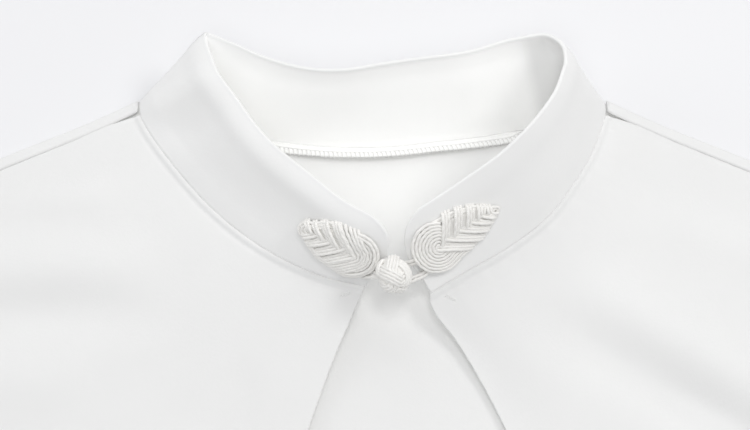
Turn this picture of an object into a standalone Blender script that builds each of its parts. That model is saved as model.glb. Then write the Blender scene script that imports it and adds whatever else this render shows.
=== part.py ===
"""A white short-sleeved top with a stand collar, lying flat on its back.

The collar closes with a plaited frog: a knot on one leaf and a loop on the other. Below it the
front is cut out in a drop. Tables are in millimetres, with x across the top, y from the hem
towards the neck and z up from the surface it lies on; y = 0 is the line through the two neck
points of the shoulders. The finished solids are in metres, centred over the middle of the whole
garment's outline.
"""
import math

import bmesh
import bpy
import numpy as np

MM = 0.001
GARMENT = "cut_out_top"

# Walls and seams
CLOTH = 1.2
BAND = 1.8
SEAM_GAP = 0.3
LAYER = CLOTH + SEAM_GAP
BACK_Z = CLOTH / 2
FRONT_Z = BACK_Z + LAYER
FOLD_RADIUS = LAYER / 2
EDGE_CLEARANCE = 0.6

# The body, laid flat
BODY_LENGTH = 600.0
HEM_DIP = 6.0
COLLAR_REACH = 21.1
NECK_Y = (BODY_LENGTH + HEM_DIP - COLLAR_REACH) / 2
SHOULDER_STRIP = 5.0
NECK_CORNER = (86.6, 0.1)

# How many spans each edge has in the solids
SHOULDER_SPANS = 8
ARMHOLE_SPANS = 9
SIDE_SPANS = 8
HEM_SPANS = 10
NAPE_SPANS = 14

SHOULDER_FOLD = (
    # distance from the centre, height on the table
    (85.0, 1.5),
    (92.0, -1.5),
    (103.0, -7.0),
    (120.0, -14.5),
    (138.0, -22.3),
    (190.0, -45.0),
)
ARMHOLE = (
    (190.0, -45.0),
    (182.5, -63.0),
    (178.0, -95.0),
    (179.0, -130.0),
    (186.0, -168.0),
    (197.5, -200.0),
    (211.5, -219.0),
    (231.0, -233.0),
)
SIDE_SEAM = (
    (231.0, -233.0),
    (225.0, -315.0),
    (221.0, -400.0),
    (226.0, -500.0),
    (233.0, -BODY_LENGTH),
)
HEM = (
    (-233.0, -BODY_LENGTH),
    (-130.0, -BODY_LENGTH - 0.8 * HEM_DIP),
    (0.0, -BODY_LENGTH - HEM_DIP),
    (130.0, -BODY_LENGTH - 0.8 * HEM_DIP),
    (233.0, -BODY_LENGTH),
)

# The drop-shaped opening, from its left top corner round its foot to its right top corner
CUT_OUT = (
    # x, y
    (-2.0, -73.6),
    (-7.2, -85.7),
    (-13.2, -100.0),
    (-22.0, -125.0),
    (-31.5, -155.0),
    (-31.5, -185.0),
    (-14.0, -209.0),
    (12.0, -216.0),
    (40.0, -207.0),
    (58.0, -182.0),
    (57.0, -152.0),
    (45.0, -125.0),
    (29.6, -95.5),
    (20.6, -76.6),
)

# The stand collar, from its left front end round the back of the neck to its right front end.
# The seam is where it joins the body; the band leans from there by a heading and a rise in degrees.
COLLAR = (
    # place, seam x, seam y, seam z, heading, rise, height
    ("left end", -2.3, -73.3, 9.0, 46.0, 53.0, 30.0),
    ("left front", -18.6, -69.5, 10.0, 57.0, 47.0, 31.0),
    ("left chest", -38.3, -59.9, 10.5, 51.5, 41.5, 34.3),
    ("left neck", -56.5, -45.1, 9.5, 42.3, 41.8, 36.0),
    ("left side", -71.5, -27.4, 7.5, 37.1, 39.8, 37.0),
    ("left shoulder", -81.3, -13.1, 5.0, 35.5, 35.5, 37.5),
    ("left strip", -84.9, -5.3, 3.1, 36.5, 33.0, 37.5),
    ("crease front", -85.3, -0.8, 2.1, 37.0, 34.0, 37.5),
    ("crease", -84.8, 0.5, 1.7, 37.2, 34.6, 37.5),
    ("crease back", -83.3, 0.0, 1.2, 37.6, 35.4, 37.5),
    ("left back", -70.8, -5.0, 0.6, 43.1, 42.7, 37.5),
    ("left nape", -52.3, -11.4, 0.6, 51.9, 53.3, 37.5),
    ("nape quarter", -32.1, -15.3, 0.6, 63.4, 61.0, 37.5),
    ("nape left", -13.7, -17.3, 0.6, 76.6, 61.0, 37.5),
    ("nape", 4.6, -17.3, 0.6, 89.0, 57.0, 37.5),
    ("nape right", 22.9, -15.3, 0.6, 96.4, 55.0, 37.5),
    ("nape far", 41.3, -12.9, 0.6, 101.3, 52.2, 37.5),
    ("right nape", 57.9, -9.4, 0.6, 106.5, 49.5, 37.5),
    ("right back", 72.7, -4.2, 0.6, 119.6, 53.5, 37.5),
    ("right strip back", 81.5, -0.8, 1.0, 140.0, 59.0, 37.5),
    ("right strip", 84.6, -0.2, 1.7, 152.0, 63.0, 37.5),
    ("right strip front", 85.0, -5.3, 3.1, 155.0, 64.8, 37.5),
    ("right shoulder", 83.6, -9.8, 4.5, 154.0, 65.7, 37.5),
    ("right side", 79.8, -20.6, 7.0, 151.2, 65.8, 37.5),
    ("right neck", 73.1, -33.2, 9.5, 148.6, 60.5, 37.0),
    ("right chest", 61.8, -48.7, 11.0, 138.6, 50.5, 35.5),
    ("right front", 47.3, -60.1, 11.0, 132.0, 45.2, 33.5),
    ("right closing", 32.9, -68.4, 10.0, 129.5, 43.5, 31.5),
    ("right end", 20.5, -75.9, 9.0, 127.5, 39.0, 30.0),
)
COLLAR_CORNER = 14.0
COLLAR_STEP = 6.5
COLLAR_ROWS = 5
LEAF_RISE = 16.0

# How the front lies over the back
NECK_LIFT_REACH = 20.0
FRONT_LOFT = 1.4
LOFT_REACH = 30.0
FRONT_FOLDS = (
    # from x, from y, to x, to y, half width, height
    (70.0, -62.0, 205.0, -148.0, 11.0, 1.9),
    (98.0, -38.0, 222.0, -104.0, 13.0, 1.7),
    (-216.0, -72.0, -96.0, -62.0, 14.0, 1.6),
    (-205.0, -112.0, -92.0, -97.0, 12.0, 1.5),
    (-62.0, -118.0, -84.0, -250.0, 12.0, 1.5),
    (80.0, -210.0, 150.0, -380.0, 14.0, 1.7),
    (-120.0, -260.0, -175.0, -470.0, 15.0, 1.7),
    (-30.0, -300.0, -60.0, -560.0, 14.0, 1.6),
    (60.0, -400.0, 40.0, -590.0, 13.0, 1.5),
    (196.0, -235.0, 150.0, -330.0, 10.0, 1.6),
    (-198.0, -232.0, -160.0, -300.0, 10.0, 1.5),
)
FOLD_TAPER = 0.25

# Sleeves: the top fold and the cuff, on the right; the left one mirrors it
CUFF_TOP = (352.0, -160.0)
CUFF_FOOT = (267.0, -289.0)
CUFF_STOPS_END = 0.86
SLEEVE_RINGS = 7
SLEEVE_LOFT = 1.0
TIP_EASE = 0.6
SLEEVE_FOLDS = (
    # share along, share across at the armhole, at the cuff, half width as a share, height
    (0.5, 0.30, 0.42, 0.10, 1.3),
    (0.5, 0.66, 0.74, 0.09, 1.1),
)

# Inside the back of the neck
ALLOWANCE_FROM = "nape quarter"
ALLOWANCE_TO = "nape far"
ALLOWANCE_WIDTH = 4.6
ALLOWANCE_WALL = 1.2

# The frog's two leaves lie on the collar. Distances run along the band from its own front end.
LEAVES = (
    # name, side, root run, root rise, tip run, tip rise, root radius, waist, tip radius
    ("frog_leaf_left", "left", 10.4, 13.2, 28.5, 15.8, 9.6, 8.4, 3.6),
    ("frog_leaf_right", "right", 11.0, 14.8, 33.0, 19.8, 10.0, 8.4, 2.3),
)
LEAF_EDGE = 1.2
LEAF_CROWN = 3.1
LEAF_RIB = 0.35
RIB_PITCH = 4.4
LEAF_COLUMNS = 11

# The knot: a ball on a short neck which starts beside the left leaf
KNOT_START = (1.7, -73.6, 22.3)
KNOT_CENTRE = (7.6, -73.3, 23.5)
KNOT_RADIUS = 5.6
KNOT_NECK = 1.6
KNOT_WRAP = 0.35
KNOT_SIDES = 24

# The loop starts on the right leaf, passes round the neck under the knot, and comes back
LOOP_PATH = (
    (13.3, -69.6, 20.1),
    (11.6, -69.1, 17.4),
    (7.0, -69.8, 16.1),
    (4.2, -71.9, 15.8),
    (6.6, -74.9, 15.5),
    (11.5, -75.0, 16.5),
    (15.0, -73.3, 17.9),
    (18.2, -71.6, 18.9),
)
LOOP_RADIUS = 1.2
LOOP_LOBE = 0.12
LOOP_TWIST = 5.0
LOOP_SIDES = 10
LOOP_RINGS = 33

CLOTH_COLOUR = (0.86, 0.855, 0.845, 1.0)
CORD_COLOUR = (0.87, 0.86, 0.83, 1.0)


def row_places(rows):
    """The numbers of a table whose rows start with a name."""
    return np.array([row[1:] for row in rows], float)


def smooth(rows, per_span=16):
    """Centripetal Catmull-Rom through rows of numbers, the first two or three of them a place."""
    pts = np.array(rows, float)
    size = min(3, pts.shape[1])
    pts = np.vstack((2 * pts[0] - pts[1], pts, 2 * pts[-1] - pts[-2]))
    out = []
    for k in range(1, len(pts) - 2):
        four = pts[k - 1:k + 3]
        gaps = [math.sqrt(max(1e-9, np.linalg.norm(four[i + 1, :size] - four[i, :size]))) for i in range(3)]
        t0, t1, t2, t3 = 0.0, gaps[0], gaps[0] + gaps[1], sum(gaps)
        for step in range(per_span):
            t = t1 + (t2 - t1) * step / per_span
            a1 = ((t1 - t) * four[0] + (t - t0) * four[1]) / (t1 - t0)
            a2 = ((t2 - t) * four[1] + (t - t1) * four[2]) / (t2 - t1)
            a3 = ((t3 - t) * four[2] + (t - t2) * four[3]) / (t3 - t2)
            b1 = ((t2 - t) * a1 + (t - t0) * a2) / (t2 - t0)
            b2 = ((t3 - t) * a2 + (t - t1) * a3) / (t3 - t1)
            out.append(((t2 - t) * b1 + (t - t1) * b2) / (t2 - t1))
    out.append(pts[-2])
    return np.array(out)


class Route:
    """A line through points, read by the share of its length."""

    def __init__(self, line):
        self.line = np.array(line, float)
        size = min(3, self.line.shape[1])
        steps = np.linalg.norm(np.diff(self.line[:, :size], axis=0), axis=1)
        self.run = np.concatenate(([0.0], np.cumsum(steps)))
        self.length = self.run[-1]

    def at(self, share):
        run = np.clip(share, 0.0, 1.0) * self.length
        return np.array([np.interp(run, self.run, column) for column in self.line.T])


class Stops:
    """A line through stops, read by the share of their number, so that neighbours share stops."""

    def __init__(self, line):
        self.line = np.array(line, float)

    def at(self, share):
        spot = np.clip(share, 0.0, 1.0) * (len(self.line) - 1)
        return np.array([np.interp(spot, np.arange(len(self.line)), column) for column in self.line.T])


def mirrored(line):
    """The same line on the other side of the garment, run the other way."""
    out = np.array(line, float)[::-1].copy()
    out[:, 0] *= -1
    return out


def patch(low, high, left, right):
    """A Coons patch: low and high run along it, left and right close its ends."""
    corners = low(0.0), low(1.0), high(0.0), high(1.0)

    def at(u, v):
        ruled = (1 - v) * low(u) + v * high(u) + (1 - u) * left(v) + u * right(v)
        tied = (1 - u) * ((1 - v) * corners[0] + v * corners[2]) + u * ((1 - v) * corners[1] + v * corners[3])
        return ruled - tied

    return at


def joined(lines):
    """One line from several, with a share of the whole for each span between two stops."""
    stops = [lines[0].line[:, :2]] + [line.line[1:, :2] for line in lines[1:]]
    return Stops(np.vstack(stops))


def nearest(points, line):
    """For each point, its distance in plan to a line and the line's value nearest it."""
    starts, ends = line[:-1, :2], line[1:, :2]
    spans = ends - starts
    squares = np.maximum((spans ** 2).sum(axis=1), 1e-12)
    offsets = points[:, None, :2] - starts[None]
    share = np.clip((offsets * spans).sum(axis=2) / squares, 0.0, 1.0)
    gaps = np.linalg.norm(offsets - share[..., None] * spans, axis=2)
    pick = gaps.argmin(axis=1)
    rows = np.arange(len(points))
    part = share[rows, pick]
    return gaps[rows, pick], (1 - part) * line[:-1, -1][pick] + part * line[1:, -1][pick]


# The collar's surface


PER_ROW = 16
BAND_LINE = smooth(row_places(COLLAR), PER_ROW)
BAND_PLACE = {row[0]: k * PER_ROW for k, row in enumerate(COLLAR)}


def band_values(place):
    return np.array([np.interp(place, np.arange(len(BAND_LINE)), column) for column in BAND_LINE.T])


def lean(place):
    heading, rise = np.radians(band_values(place)[3:5])
    return np.array([math.cos(rise) * math.cos(heading), math.cos(rise) * math.sin(heading), math.sin(rise)])


def band_point(place, rise, out=0.0):
    """A place on the collar: rise up the band from its seam and out from its middle surface."""
    point = band_values(place)[:3] + rise * lean(place)
    if out:
        ahead = band_values(place + 1)[:3] + rise * lean(place + 1)
        behind = band_values(place - 1)[:3] + rise * lean(place - 1)
        normal = np.cross(lean(place), ahead - behind)
        point = point + out * normal / np.linalg.norm(normal)
    return point


def band_runs():
    """The run along the band, at the height of the frog, of each place on it."""
    line = np.array([band_point(place, LEAF_RISE) for place in range(len(BAND_LINE))])
    return np.concatenate(([0.0], np.cumsum(np.linalg.norm(np.diff(line, axis=0), axis=1))))


BAND_RUNS = band_runs()


def place_at_run(side, run):
    """The place on the collar at a run from the front end of one side."""
    target = run if side == "left" else BAND_RUNS[-1] - run
    return float(np.interp(target, BAND_RUNS, np.arange(len(BAND_RUNS))))


def band_height(place):
    """The band's height, with the round corners of its two front ends."""
    height = band_values(place)[5]
    run = float(np.interp(place, np.arange(len(BAND_RUNS)), BAND_RUNS))
    from_end = min(run, BAND_RUNS[-1] - run)
    if from_end >= COLLAR_CORNER:
        return height
    return height - COLLAR_CORNER + math.sqrt(max(0.0, COLLAR_CORNER ** 2 - (COLLAR_CORNER - from_end) ** 2))


def collar_places():
    """Places of the collar's columns: close together at the round corners and the creases."""
    corner = [COLLAR_CORNER * (1 - math.cos(math.radians(angle))) for angle in range(0, 91, 15)]
    inner_from, inner_to = place_at_run("left", corner[-1]), place_at_run("right", corner[-1])
    places = [place_at_run("left", run) for run in corner]
    for k in range(len(COLLAR) - 1):
        start, end = k * PER_ROW, (k + 1) * PER_ROW
        length = np.linalg.norm(BAND_LINE[end, :3] - BAND_LINE[start, :3])
        count = max(2, round(length / COLLAR_STEP))
        places += [start + (end - start) * step / count for step in range(count)]
    places += [place_at_run("right", run) for run in corner]
    kept = [p for p in places if inner_from + 1 < p < inner_to - 1]
    ends = [place_at_run(side, run) for side in ("left", "right") for run in corner]
    return sorted(kept + ends)


# The front's height over the table


def seam_outside(place, reach, side):
    """A point of the neck seam moved off the collar in plan, to the left (1) or right (-1) of its run."""
    here = band_values(place)
    way = band_values(place + 1)[:2] - band_values(place - 1)[:2]
    way /= np.linalg.norm(way)
    return np.array([here[0] - side * reach * way[1], here[1] + side * reach * way[0], here[2]])


def neck_edge(start, end, side):
    """The neck edge of a panel, clear of the collar, as x, y and z."""
    count = max(2, round(abs(end - start) / 4))
    return np.array([seam_outside(start + (end - start) * k / count, EDGE_CLEARANCE, side)
                     for k in range(count + 1)])


LEFT_NECK = neck_edge(0, BAND_PLACE["left strip"], 1)
RIGHT_NECK = neck_edge(BAND_PLACE["right end"], BAND_PLACE["right strip front"], 1)
RIGHT_FOLD = Route(smooth(SHOULDER_FOLD))
RIGHT_ARMHOLE = Route(smooth(ARMHOLE))
RIGHT_SIDE = Route(smooth(SIDE_SEAM))
HEM_LINE = Route(smooth(HEM))


def inside_fold(distance, neck_point):
    """Stops of the right shoulder fold moved into the garment, from the neck to the armhole."""
    line = []
    for share in np.linspace(0.0, 1.0, SHOULDER_SPANS + 1):
        here = RIGHT_FOLD.at(share)
        way = RIGHT_FOLD.at(share + 0.02) - RIGHT_FOLD.at(share - 0.02)
        way /= np.linalg.norm(way)
        line.append((here[0] + distance * way[1], here[1] - distance * way[0]))
    line[0] = neck_point
    line[-1] = tuple(RIGHT_ARMHOLE.at(distance / RIGHT_ARMHOLE.length))
    return np.array(line)


def armhole_stops(start=0.0, outside=0.0):
    """Stops of the right armhole from its top to the underarm, the same ones for body and sleeve."""
    length = RIGHT_ARMHOLE.length
    runs = np.linspace(0.0, length, ARMHOLE_SPANS + 1)
    runs[0] = start
    line = []
    for share in runs / length:
        here = RIGHT_ARMHOLE.at(share)
        way = RIGHT_ARMHOLE.at(share + 0.01) - RIGHT_ARMHOLE.at(share - 0.01)
        way /= np.linalg.norm(way)
        line.append((here[0] - outside * way[1], here[1] + outside * way[0]))
    return np.array(line)


def even_stops(route, spans):
    return np.array([route.at(k / spans) for k in range(spans + 1)])


def fold_heights(points, folds):
    """Soft ridges: each is highest along its middle and fades to its ends and sides."""
    total = np.zeros(len(points))
    for x0, y0, x1, y1, half_width, height in folds:
        start, way = np.array((x0, y0)), np.array((x1 - x0, y1 - y0))
        length = np.linalg.norm(way)
        offsets = points[:, :2] - start
        along = offsets @ way / length ** 2
        across = (offsets[:, 0] * way[1] - offsets[:, 1] * way[0]) / length
        fade = np.clip(np.minimum(along, 1 - along) / FOLD_TAPER, 0.0, 1.0)
        total += height * np.exp(-(across / half_width) ** 2) * fade * fade * (3 - 2 * fade)
    return total


def front_outline():
    """The front's outer edge: left shoulder, armhole, side, hem and the right side again."""
    inset = SHOULDER_STRIP + SEAM_GAP
    shoulder = inside_fold(inset, RIGHT_NECK[-1, :2])
    left_shoulder = inside_fold(inset, LEFT_NECK[-1, :2] * (-1, 1)) * (-1, 1)
    armhole = armhole_stops(inset)
    side = even_stops(RIGHT_SIDE, SIDE_SPANS)
    hem = even_stops(HEM_LINE, HEM_SPANS)
    return [Stops(line) for line in (left_shoulder, armhole * (-1, 1), side * (-1, 1), hem,
                                     side[::-1], armhole[::-1], shoulder[::-1])]


FRONT_EDGES = front_outline()
OUTER_LINE = np.vstack([edge.line for edge in FRONT_EDGES])


def front_height(points):
    """Height of the front's middle surface: flat at its edges, lofted inside, raised to the collar."""
    from_edge, _ = nearest(points, OUTER_LINE)
    inner = 1 - np.exp(-(from_edge / LOFT_REACH) ** 2)
    height = FRONT_Z + inner * (FRONT_LOFT + fold_heights(points, FRONT_FOLDS))
    left_gap, left_z = nearest(points, LEFT_NECK)
    right_gap, right_z = nearest(points, RIGHT_NECK)
    gap = np.minimum(left_gap, right_gap)
    seam_z = np.where(left_gap < right_gap, left_z, right_z)
    near = np.exp(-gap / NECK_LIFT_REACH) * (1 + gap / NECK_LIFT_REACH)
    return height + (np.maximum(seam_z, FRONT_Z) - height) * near


# Building the solids


def material(name, colour, roughness):
    found = bpy.data.materials.get(name) or bpy.data.materials.new(name)
    found.use_nodes = True
    found.diffuse_color = colour
    shader = found.node_tree.nodes["Principled BSDF"]
    shader.inputs["Base Color"].default_value = colour
    shader.inputs["Roughness"].default_value = roughness
    shader.inputs["Metallic"].default_value = 0.0
    return found


def to_metres(point):
    return (point[0] * MM, (point[1] + NECK_Y) * MM, point[2] * MM)


def finish_object(name, bm, collection, surface):
    mesh = bpy.data.meshes.new(name)
    bm.to_mesh(mesh)
    bm.free()
    mesh.materials.append(surface)
    mesh.shade_smooth()
    thing = bpy.data.objects.new(name, mesh)
    collection.objects.link(thing)
    return thing


def grid(columns, rows, place):
    """A grid of columns by rows points, each put where place(column, row) says."""
    bm = bmesh.new()
    bmesh.ops.create_grid(bm, x_segments=columns - 1, y_segments=rows - 1, size=1.0)
    bm.verts.ensure_lookup_table()
    for row in range(rows):
        for column in range(columns):
            bm.verts[row * columns + column].co = to_metres(place(column, row))
    return bm


def add_wall(thing, wall, even=True):
    solid = thing.modifiers.new("wall", "SOLIDIFY")
    solid.thickness = wall * MM
    solid.offset = 0.0
    solid.use_even_offset = even
    solid.use_rim = True


def build_front(collection, cloth):
    outline = joined(FRONT_EDGES)
    columns, rows = len(outline.line), 11
    flat = patch(Route(smooth(CUT_OUT)).at, outline.at, Route(LEFT_NECK[:, :2]).at, Route(RIGHT_NECK[:, :2]).at)
    plan = np.array([flat(c / (columns - 1), (r / (rows - 1)) ** 1.15) for r in range(rows) for c in range(columns)])
    heights = front_height(plan)
    bm = grid(columns, rows, lambda c, r: (*plan[r * columns + c], heights[r * columns + c]))
    add_wall(finish_object("front", bm, collection, cloth), CLOTH)


def build_back(collection, cloth):
    """The back lies flat, then turns over each shoulder fold to a seam on the front side."""
    bend_start = FOLD_RADIUS + CLOTH / 2
    shoulder = inside_fold(bend_start, NECK_CORNER)
    neck = neck_edge(BAND_PLACE["crease back"] + 4, BAND_PLACE["right strip back"] - 2, -1)[:, :2]
    neck = Route(np.vstack((shoulder[0] * (-1, 1), neck, shoulder[0])))
    top = joined([Stops(mirrored(shoulder)), Stops(even_stops(neck, NAPE_SPANS)), Stops(shoulder)])
    side = joined([Stops(even_stops(RIGHT_SIDE, SIDE_SPANS)[::-1]), Stops(armhole_stops(bend_start)[::-1])])
    columns, rows = len(top.line), len(side.line)
    flat = patch(HEM_LINE.at, top.at, Stops(side.line * (-1, 1)).at, side.at)
    bm = grid(columns, rows, lambda c, r: (*flat(c / (columns - 1), r / (rows - 1)), BACK_Z))
    bm.verts.ensure_lookup_table()
    profile = [(FOLD_RADIUS * math.sin(math.radians(a)), FOLD_RADIUS * (1 - math.cos(math.radians(a))))
               for a in range(30, 181, 30)]
    profile.append((bend_start - SHOULDER_STRIP, 2 * FOLD_RADIUS))
    spans = (range(SHOULDER_SPANS + 1), range(columns - SHOULDER_SPANS - 1, columns))
    shoulders = [[bm.verts[(rows - 1) * columns + c] for c in span] for span in spans]
    for edge in shoulders:
        line = [np.array(v.co) / MM for v in edge]
        for outward, up in profile:
            edges = [e for v, w in zip(edge, edge[1:]) for e in v.link_edges if e.other_vert(v) is w]
            grown = bmesh.ops.extrude_edge_only(bm, edges=edges)["geom"]
            verts = [g for g in grown if isinstance(g, bmesh.types.BMVert)]
            edge = [min(verts, key=lambda v, old=old: (v.co - old.co).length) for old in edge]
            for k, vert in enumerate(edge):
                before, after = line[max(0, k - 1)], line[min(len(line) - 1, k + 1)]
                way = (after - before)[:2] / np.linalg.norm((after - before)[:2])
                if abs(line[k][0]) < NECK_CORNER[0] + 1:
                    way = np.array((1.0, 0.0))
                vert.co = ((line[k][0] - outward * way[1]) * MM, (line[k][1] + outward * way[0]) * MM,
                           (BACK_Z + up) * MM)
    add_wall(finish_object("back", bm, collection, cloth), CLOTH)


def sleeve_ring(share, armhole, cuff, top_way, foot_way):
    """The points round a flat sleeve at one share of its length: front layer, foot, back layer, top."""
    line = (1 - share) * armhole + share * cuff
    spots = np.linspace(0.0, 1.0, len(line))
    front = []
    for (x, y), t in zip(line, spots):
        loft = SLEEVE_LOFT * math.sin(math.pi * t) ** 0.7
        for middle, first, last, half, height in SLEEVE_FOLDS:
            across = (t - first - (last - first) * share) / half
            loft += height * math.exp(-across ** 2) * max(0.0, 1 - abs(share - middle) / 0.5)
        front.append((x, y, FRONT_Z + loft * min(1.0, 6 * share)))
    back = [(x, y, BACK_Z) for x, y in line]

    def bend(base, way):
        turns = [math.radians(angle) for angle in range(30, 180, 30)]
        return [(*(base + FOLD_RADIUS * math.sin(turn) * way), BACK_Z + FOLD_RADIUS * (1 + math.cos(turn)))
                for turn in turns]

    return front + bend(line[-1], foot_way) + back[::-1] + bend(line[0], top_way)[::-1]


def side_way(start, end, side):
    """The direction off one side of a straight fold: left (1) or right (-1) of its run."""
    way = (np.array(end) - start) / np.linalg.norm(np.array(end) - start)
    return side * np.array((-way[1], way[0]))


def build_sleeve(name, side, collection, cloth):
    """A flat tube: its stops keep clear of the two long folds, which turn from front to back."""
    inset = FOLD_RADIUS + CLOTH / 2
    armhole = armhole_stops(outside=SEAM_GAP)
    cuff_line = Route((CUFF_TOP, CUFF_FOOT))
    cuff = np.array([cuff_line.at(k * CUFF_STOPS_END / ARMHOLE_SPANS) for k in range(ARMHOLE_SPANS)]
                    + [cuff_line.at(1.0)])
    top_way = side_way(armhole[0], cuff[0], 1)
    foot_way = side_way(armhole[-1], cuff[-1], -1)
    for line in (armhole, cuff):
        line[0] -= (inset + SEAM_GAP) * top_way
        line[-1] -= (inset + SEAM_GAP) * foot_way
    armhole[0] += TIP_EASE * (cuff[0] - armhole[0]) / np.linalg.norm(cuff[0] - armhole[0])
    rings = [sleeve_ring(k / (SLEEVE_RINGS - 1), armhole, cuff, top_way, foot_way) for k in range(SLEEVE_RINGS)]
    around = len(rings[0])

    def place(column, row):
        x, y, z = rings[row][column % around]
        return side * x, y, z

    bm = grid(around + 1, SLEEVE_RINGS, place)
    bmesh.ops.remove_doubles(bm, verts=bm.verts, dist=0.01 * MM)
    bmesh.ops.triangulate(bm, faces=bm.faces, quad_method="SHORT_EDGE")
    add_wall(finish_object(name, bm, collection, cloth), CLOTH, even=False)


def build_collar(collection, cloth):
    places = collar_places()

    def place(column, row):
        spot = places[column]
        return band_point(spot, EDGE_CLEARANCE + (band_height(spot) - EDGE_CLEARANCE) * row / COLLAR_ROWS)

    add_wall(finish_object("collar", grid(len(places), COLLAR_ROWS + 1, place), collection, cloth), BAND)


def build_allowance(collection, cloth):
    """The bound seam allowance that shows inside the back of the neck, flat on the back panel."""
    start, end = BAND_PLACE[ALLOWANCE_FROM], BAND_PLACE[ALLOWANCE_TO]
    columns = 13
    height = BACK_Z + CLOTH / 2 + SEAM_GAP + ALLOWANCE_WALL / 2

    def place(column, row):
        spot = start + (end - start) * column / (columns - 1)
        point = seam_outside(spot, 1.2 + (ALLOWANCE_WIDTH - 1.2) * row, -1)
        return point[0], point[1], height

    add_wall(finish_object("neck_seam_allowance", grid(columns, 2, place), collection, cloth), ALLOWANCE_WALL)


def leaf_half_width(share, root, waist, tip):
    """Half the leaf's width at a share of its length: a round root, a full middle, a narrow tip."""
    length_share = np.clip(share, 0.0, 1.0)
    body = root + (waist - root) * min(1.0, length_share / 0.5)
    if length_share > 0.5:
        body = waist + (tip - waist) * ((length_share - 0.5) / 0.5) ** 1.6
    return body


def leaf_surface(row):
    """The outline of one leaf as rows across it, each a middle and a half width, in band runs."""
    _, side, root_run, root_rise, tip_run, tip_rise, root, waist, tip = row
    start, end = np.array((root_run, root_rise)), np.array((tip_run, tip_rise))
    way = (end - start) / np.linalg.norm(end - start)
    across = np.array((-way[1], way[0]))
    total = np.linalg.norm(end - start)
    spots = []
    for angle in range(90, 0, -18):
        spots.append((-root * math.sin(math.radians(angle)) * 0.999, root * math.cos(math.radians(angle)) + 0.3))
    for k in range(15):
        spots.append((total * k / 14, leaf_half_width(k / 14, root, waist, tip)))
    for angle in (30, 60, 90):
        spots.append((total + tip * math.sin(math.radians(angle)), tip * math.cos(math.radians(angle)) + 0.2))
    return side, start, way, across, spots


def build_leaf(row, collection, cord):
    """A padded leaf: a plain underside on the collar, and a crown with plaited ribs."""
    side, start, way, across, spots = leaf_surface(row)
    columns, rows = LEAF_COLUMNS, len(spots)
    root = row[6]

    def point(column, level, out):
        along, half = spots[level]
        share = 2 * column / (columns - 1) - 1
        flat = start + along * way + share * half * across
        return band_point(place_at_run(side, flat[0]), flat[1], out)

    def crown(column, level):
        along, half = spots[level]
        share = 2 * column / (columns - 1) - 1
        round_ = math.sqrt(max(0.0, 1 - share * share))
        ends = min(1.0, (half / 3.0))
        height = BAND / 2 + SEAM_GAP + LEAF_EDGE + (LEAF_CROWN - LEAF_EDGE) * round_ * ends
        ring = math.hypot(along, share * half) if along < 0.4 * root else along + 0.55 * abs(share) * half
        return point(column, level, height + LEAF_RIB * round_ * math.cos(2 * math.pi * ring / RIB_PITCH))

    top = grid(columns, rows, crown)
    under = grid(columns, rows, lambda c, r: point(c, r, BAND / 2 + SEAM_GAP))
    mesh = bpy.data.meshes.new("under")
    under.to_mesh(mesh)
    under.free()
    top.from_mesh(mesh)
    bpy.data.meshes.remove(mesh)
    rims = [e for e in top.edges if e.is_boundary]
    bmesh.ops.bridge_loops(top, edges=rims)
    bmesh.ops.recalc_face_normals(top, faces=top.faces)
    finish_object(row[0], top, collection, cord)


def build_from_rings(name, rings, collection, surface):
    """One closed body from rings of points; an end ring is either a single place or is capped."""
    around = len(rings[0])
    bm = grid(around + 1, len(rings), lambda c, r: rings[r][c % around])
    bmesh.ops.remove_doubles(bm, verts=bm.verts, dist=0.01 * MM)
    bmesh.ops.holes_fill(bm, edges=[e for e in bm.edges if e.is_boundary], sides=0)
    bmesh.ops.recalc_face_normals(bm, faces=bm.faces)
    finish_object(name, bm, collection, surface)


def build_knot(collection, cord):
    """The knot's neck and ball are turned about one line; the ball's wraps are raised on it."""
    start, centre = np.array(KNOT_START), np.array(KNOT_CENTRE)
    way = (centre - start) / np.linalg.norm(centre - start)
    side = np.cross(way, (0.0, 0.0, 1.0))
    side /= np.linalg.norm(side)
    rise = np.cross(side, way)
    neck_angle = math.asin(KNOT_NECK / KNOT_RADIUS)
    profile = [(start, KNOT_NECK, 0.0)]
    for k in range(15):
        angle = neck_angle + (math.pi - neck_angle) * k / 14
        spot = centre - way * KNOT_RADIUS * math.cos(angle)
        profile.append((spot, KNOT_RADIUS * math.sin(angle), math.sin(angle) if k else 0.0))
    rings = []
    for spot, radius, relief in profile:
        ring = []
        for k in range(KNOT_SIDES):
            turn = 2 * math.pi * k / KNOT_SIDES
            lean_turn = (spot - centre) @ way / KNOT_RADIUS
            wrap = KNOT_WRAP * relief * math.cos(3 * turn + 2.2 * lean_turn)
            out = max(0.0, radius + wrap)
            ring.append(spot + out * (math.cos(turn) * side + math.sin(turn) * rise))
        rings.append(ring)
    build_from_rings("frog_knot", rings, collection, cord)


def build_loop(collection, cord):
    """The loop is one twisted pair of cords, so its section has two lobes that turn along it."""
    path = Route(smooth(LOOP_PATH))
    rings = []
    side = np.array((0.0, 0.0, 1.0))
    for k in range(LOOP_RINGS):
        share = k / (LOOP_RINGS - 1)
        way = path.at(share + 0.01) - path.at(share - 0.01)
        way /= np.linalg.norm(way)
        side = side - (side @ way) * way
        side /= np.linalg.norm(side)
        rise = np.cross(way, side)
        ring = []
        for n in range(LOOP_SIDES):
            turn = 2 * math.pi * n / LOOP_SIDES
            lobe = 1 + LOOP_LOBE * math.cos(2 * turn - 2 * math.pi * share * path.length / LOOP_TWIST)
            ring.append(path.at(share) + LOOP_RADIUS * lobe * (math.cos(turn) * side + math.sin(turn) * rise))
        rings.append(ring)
    build_from_rings("frog_loop", rings, collection, cord)


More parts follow.
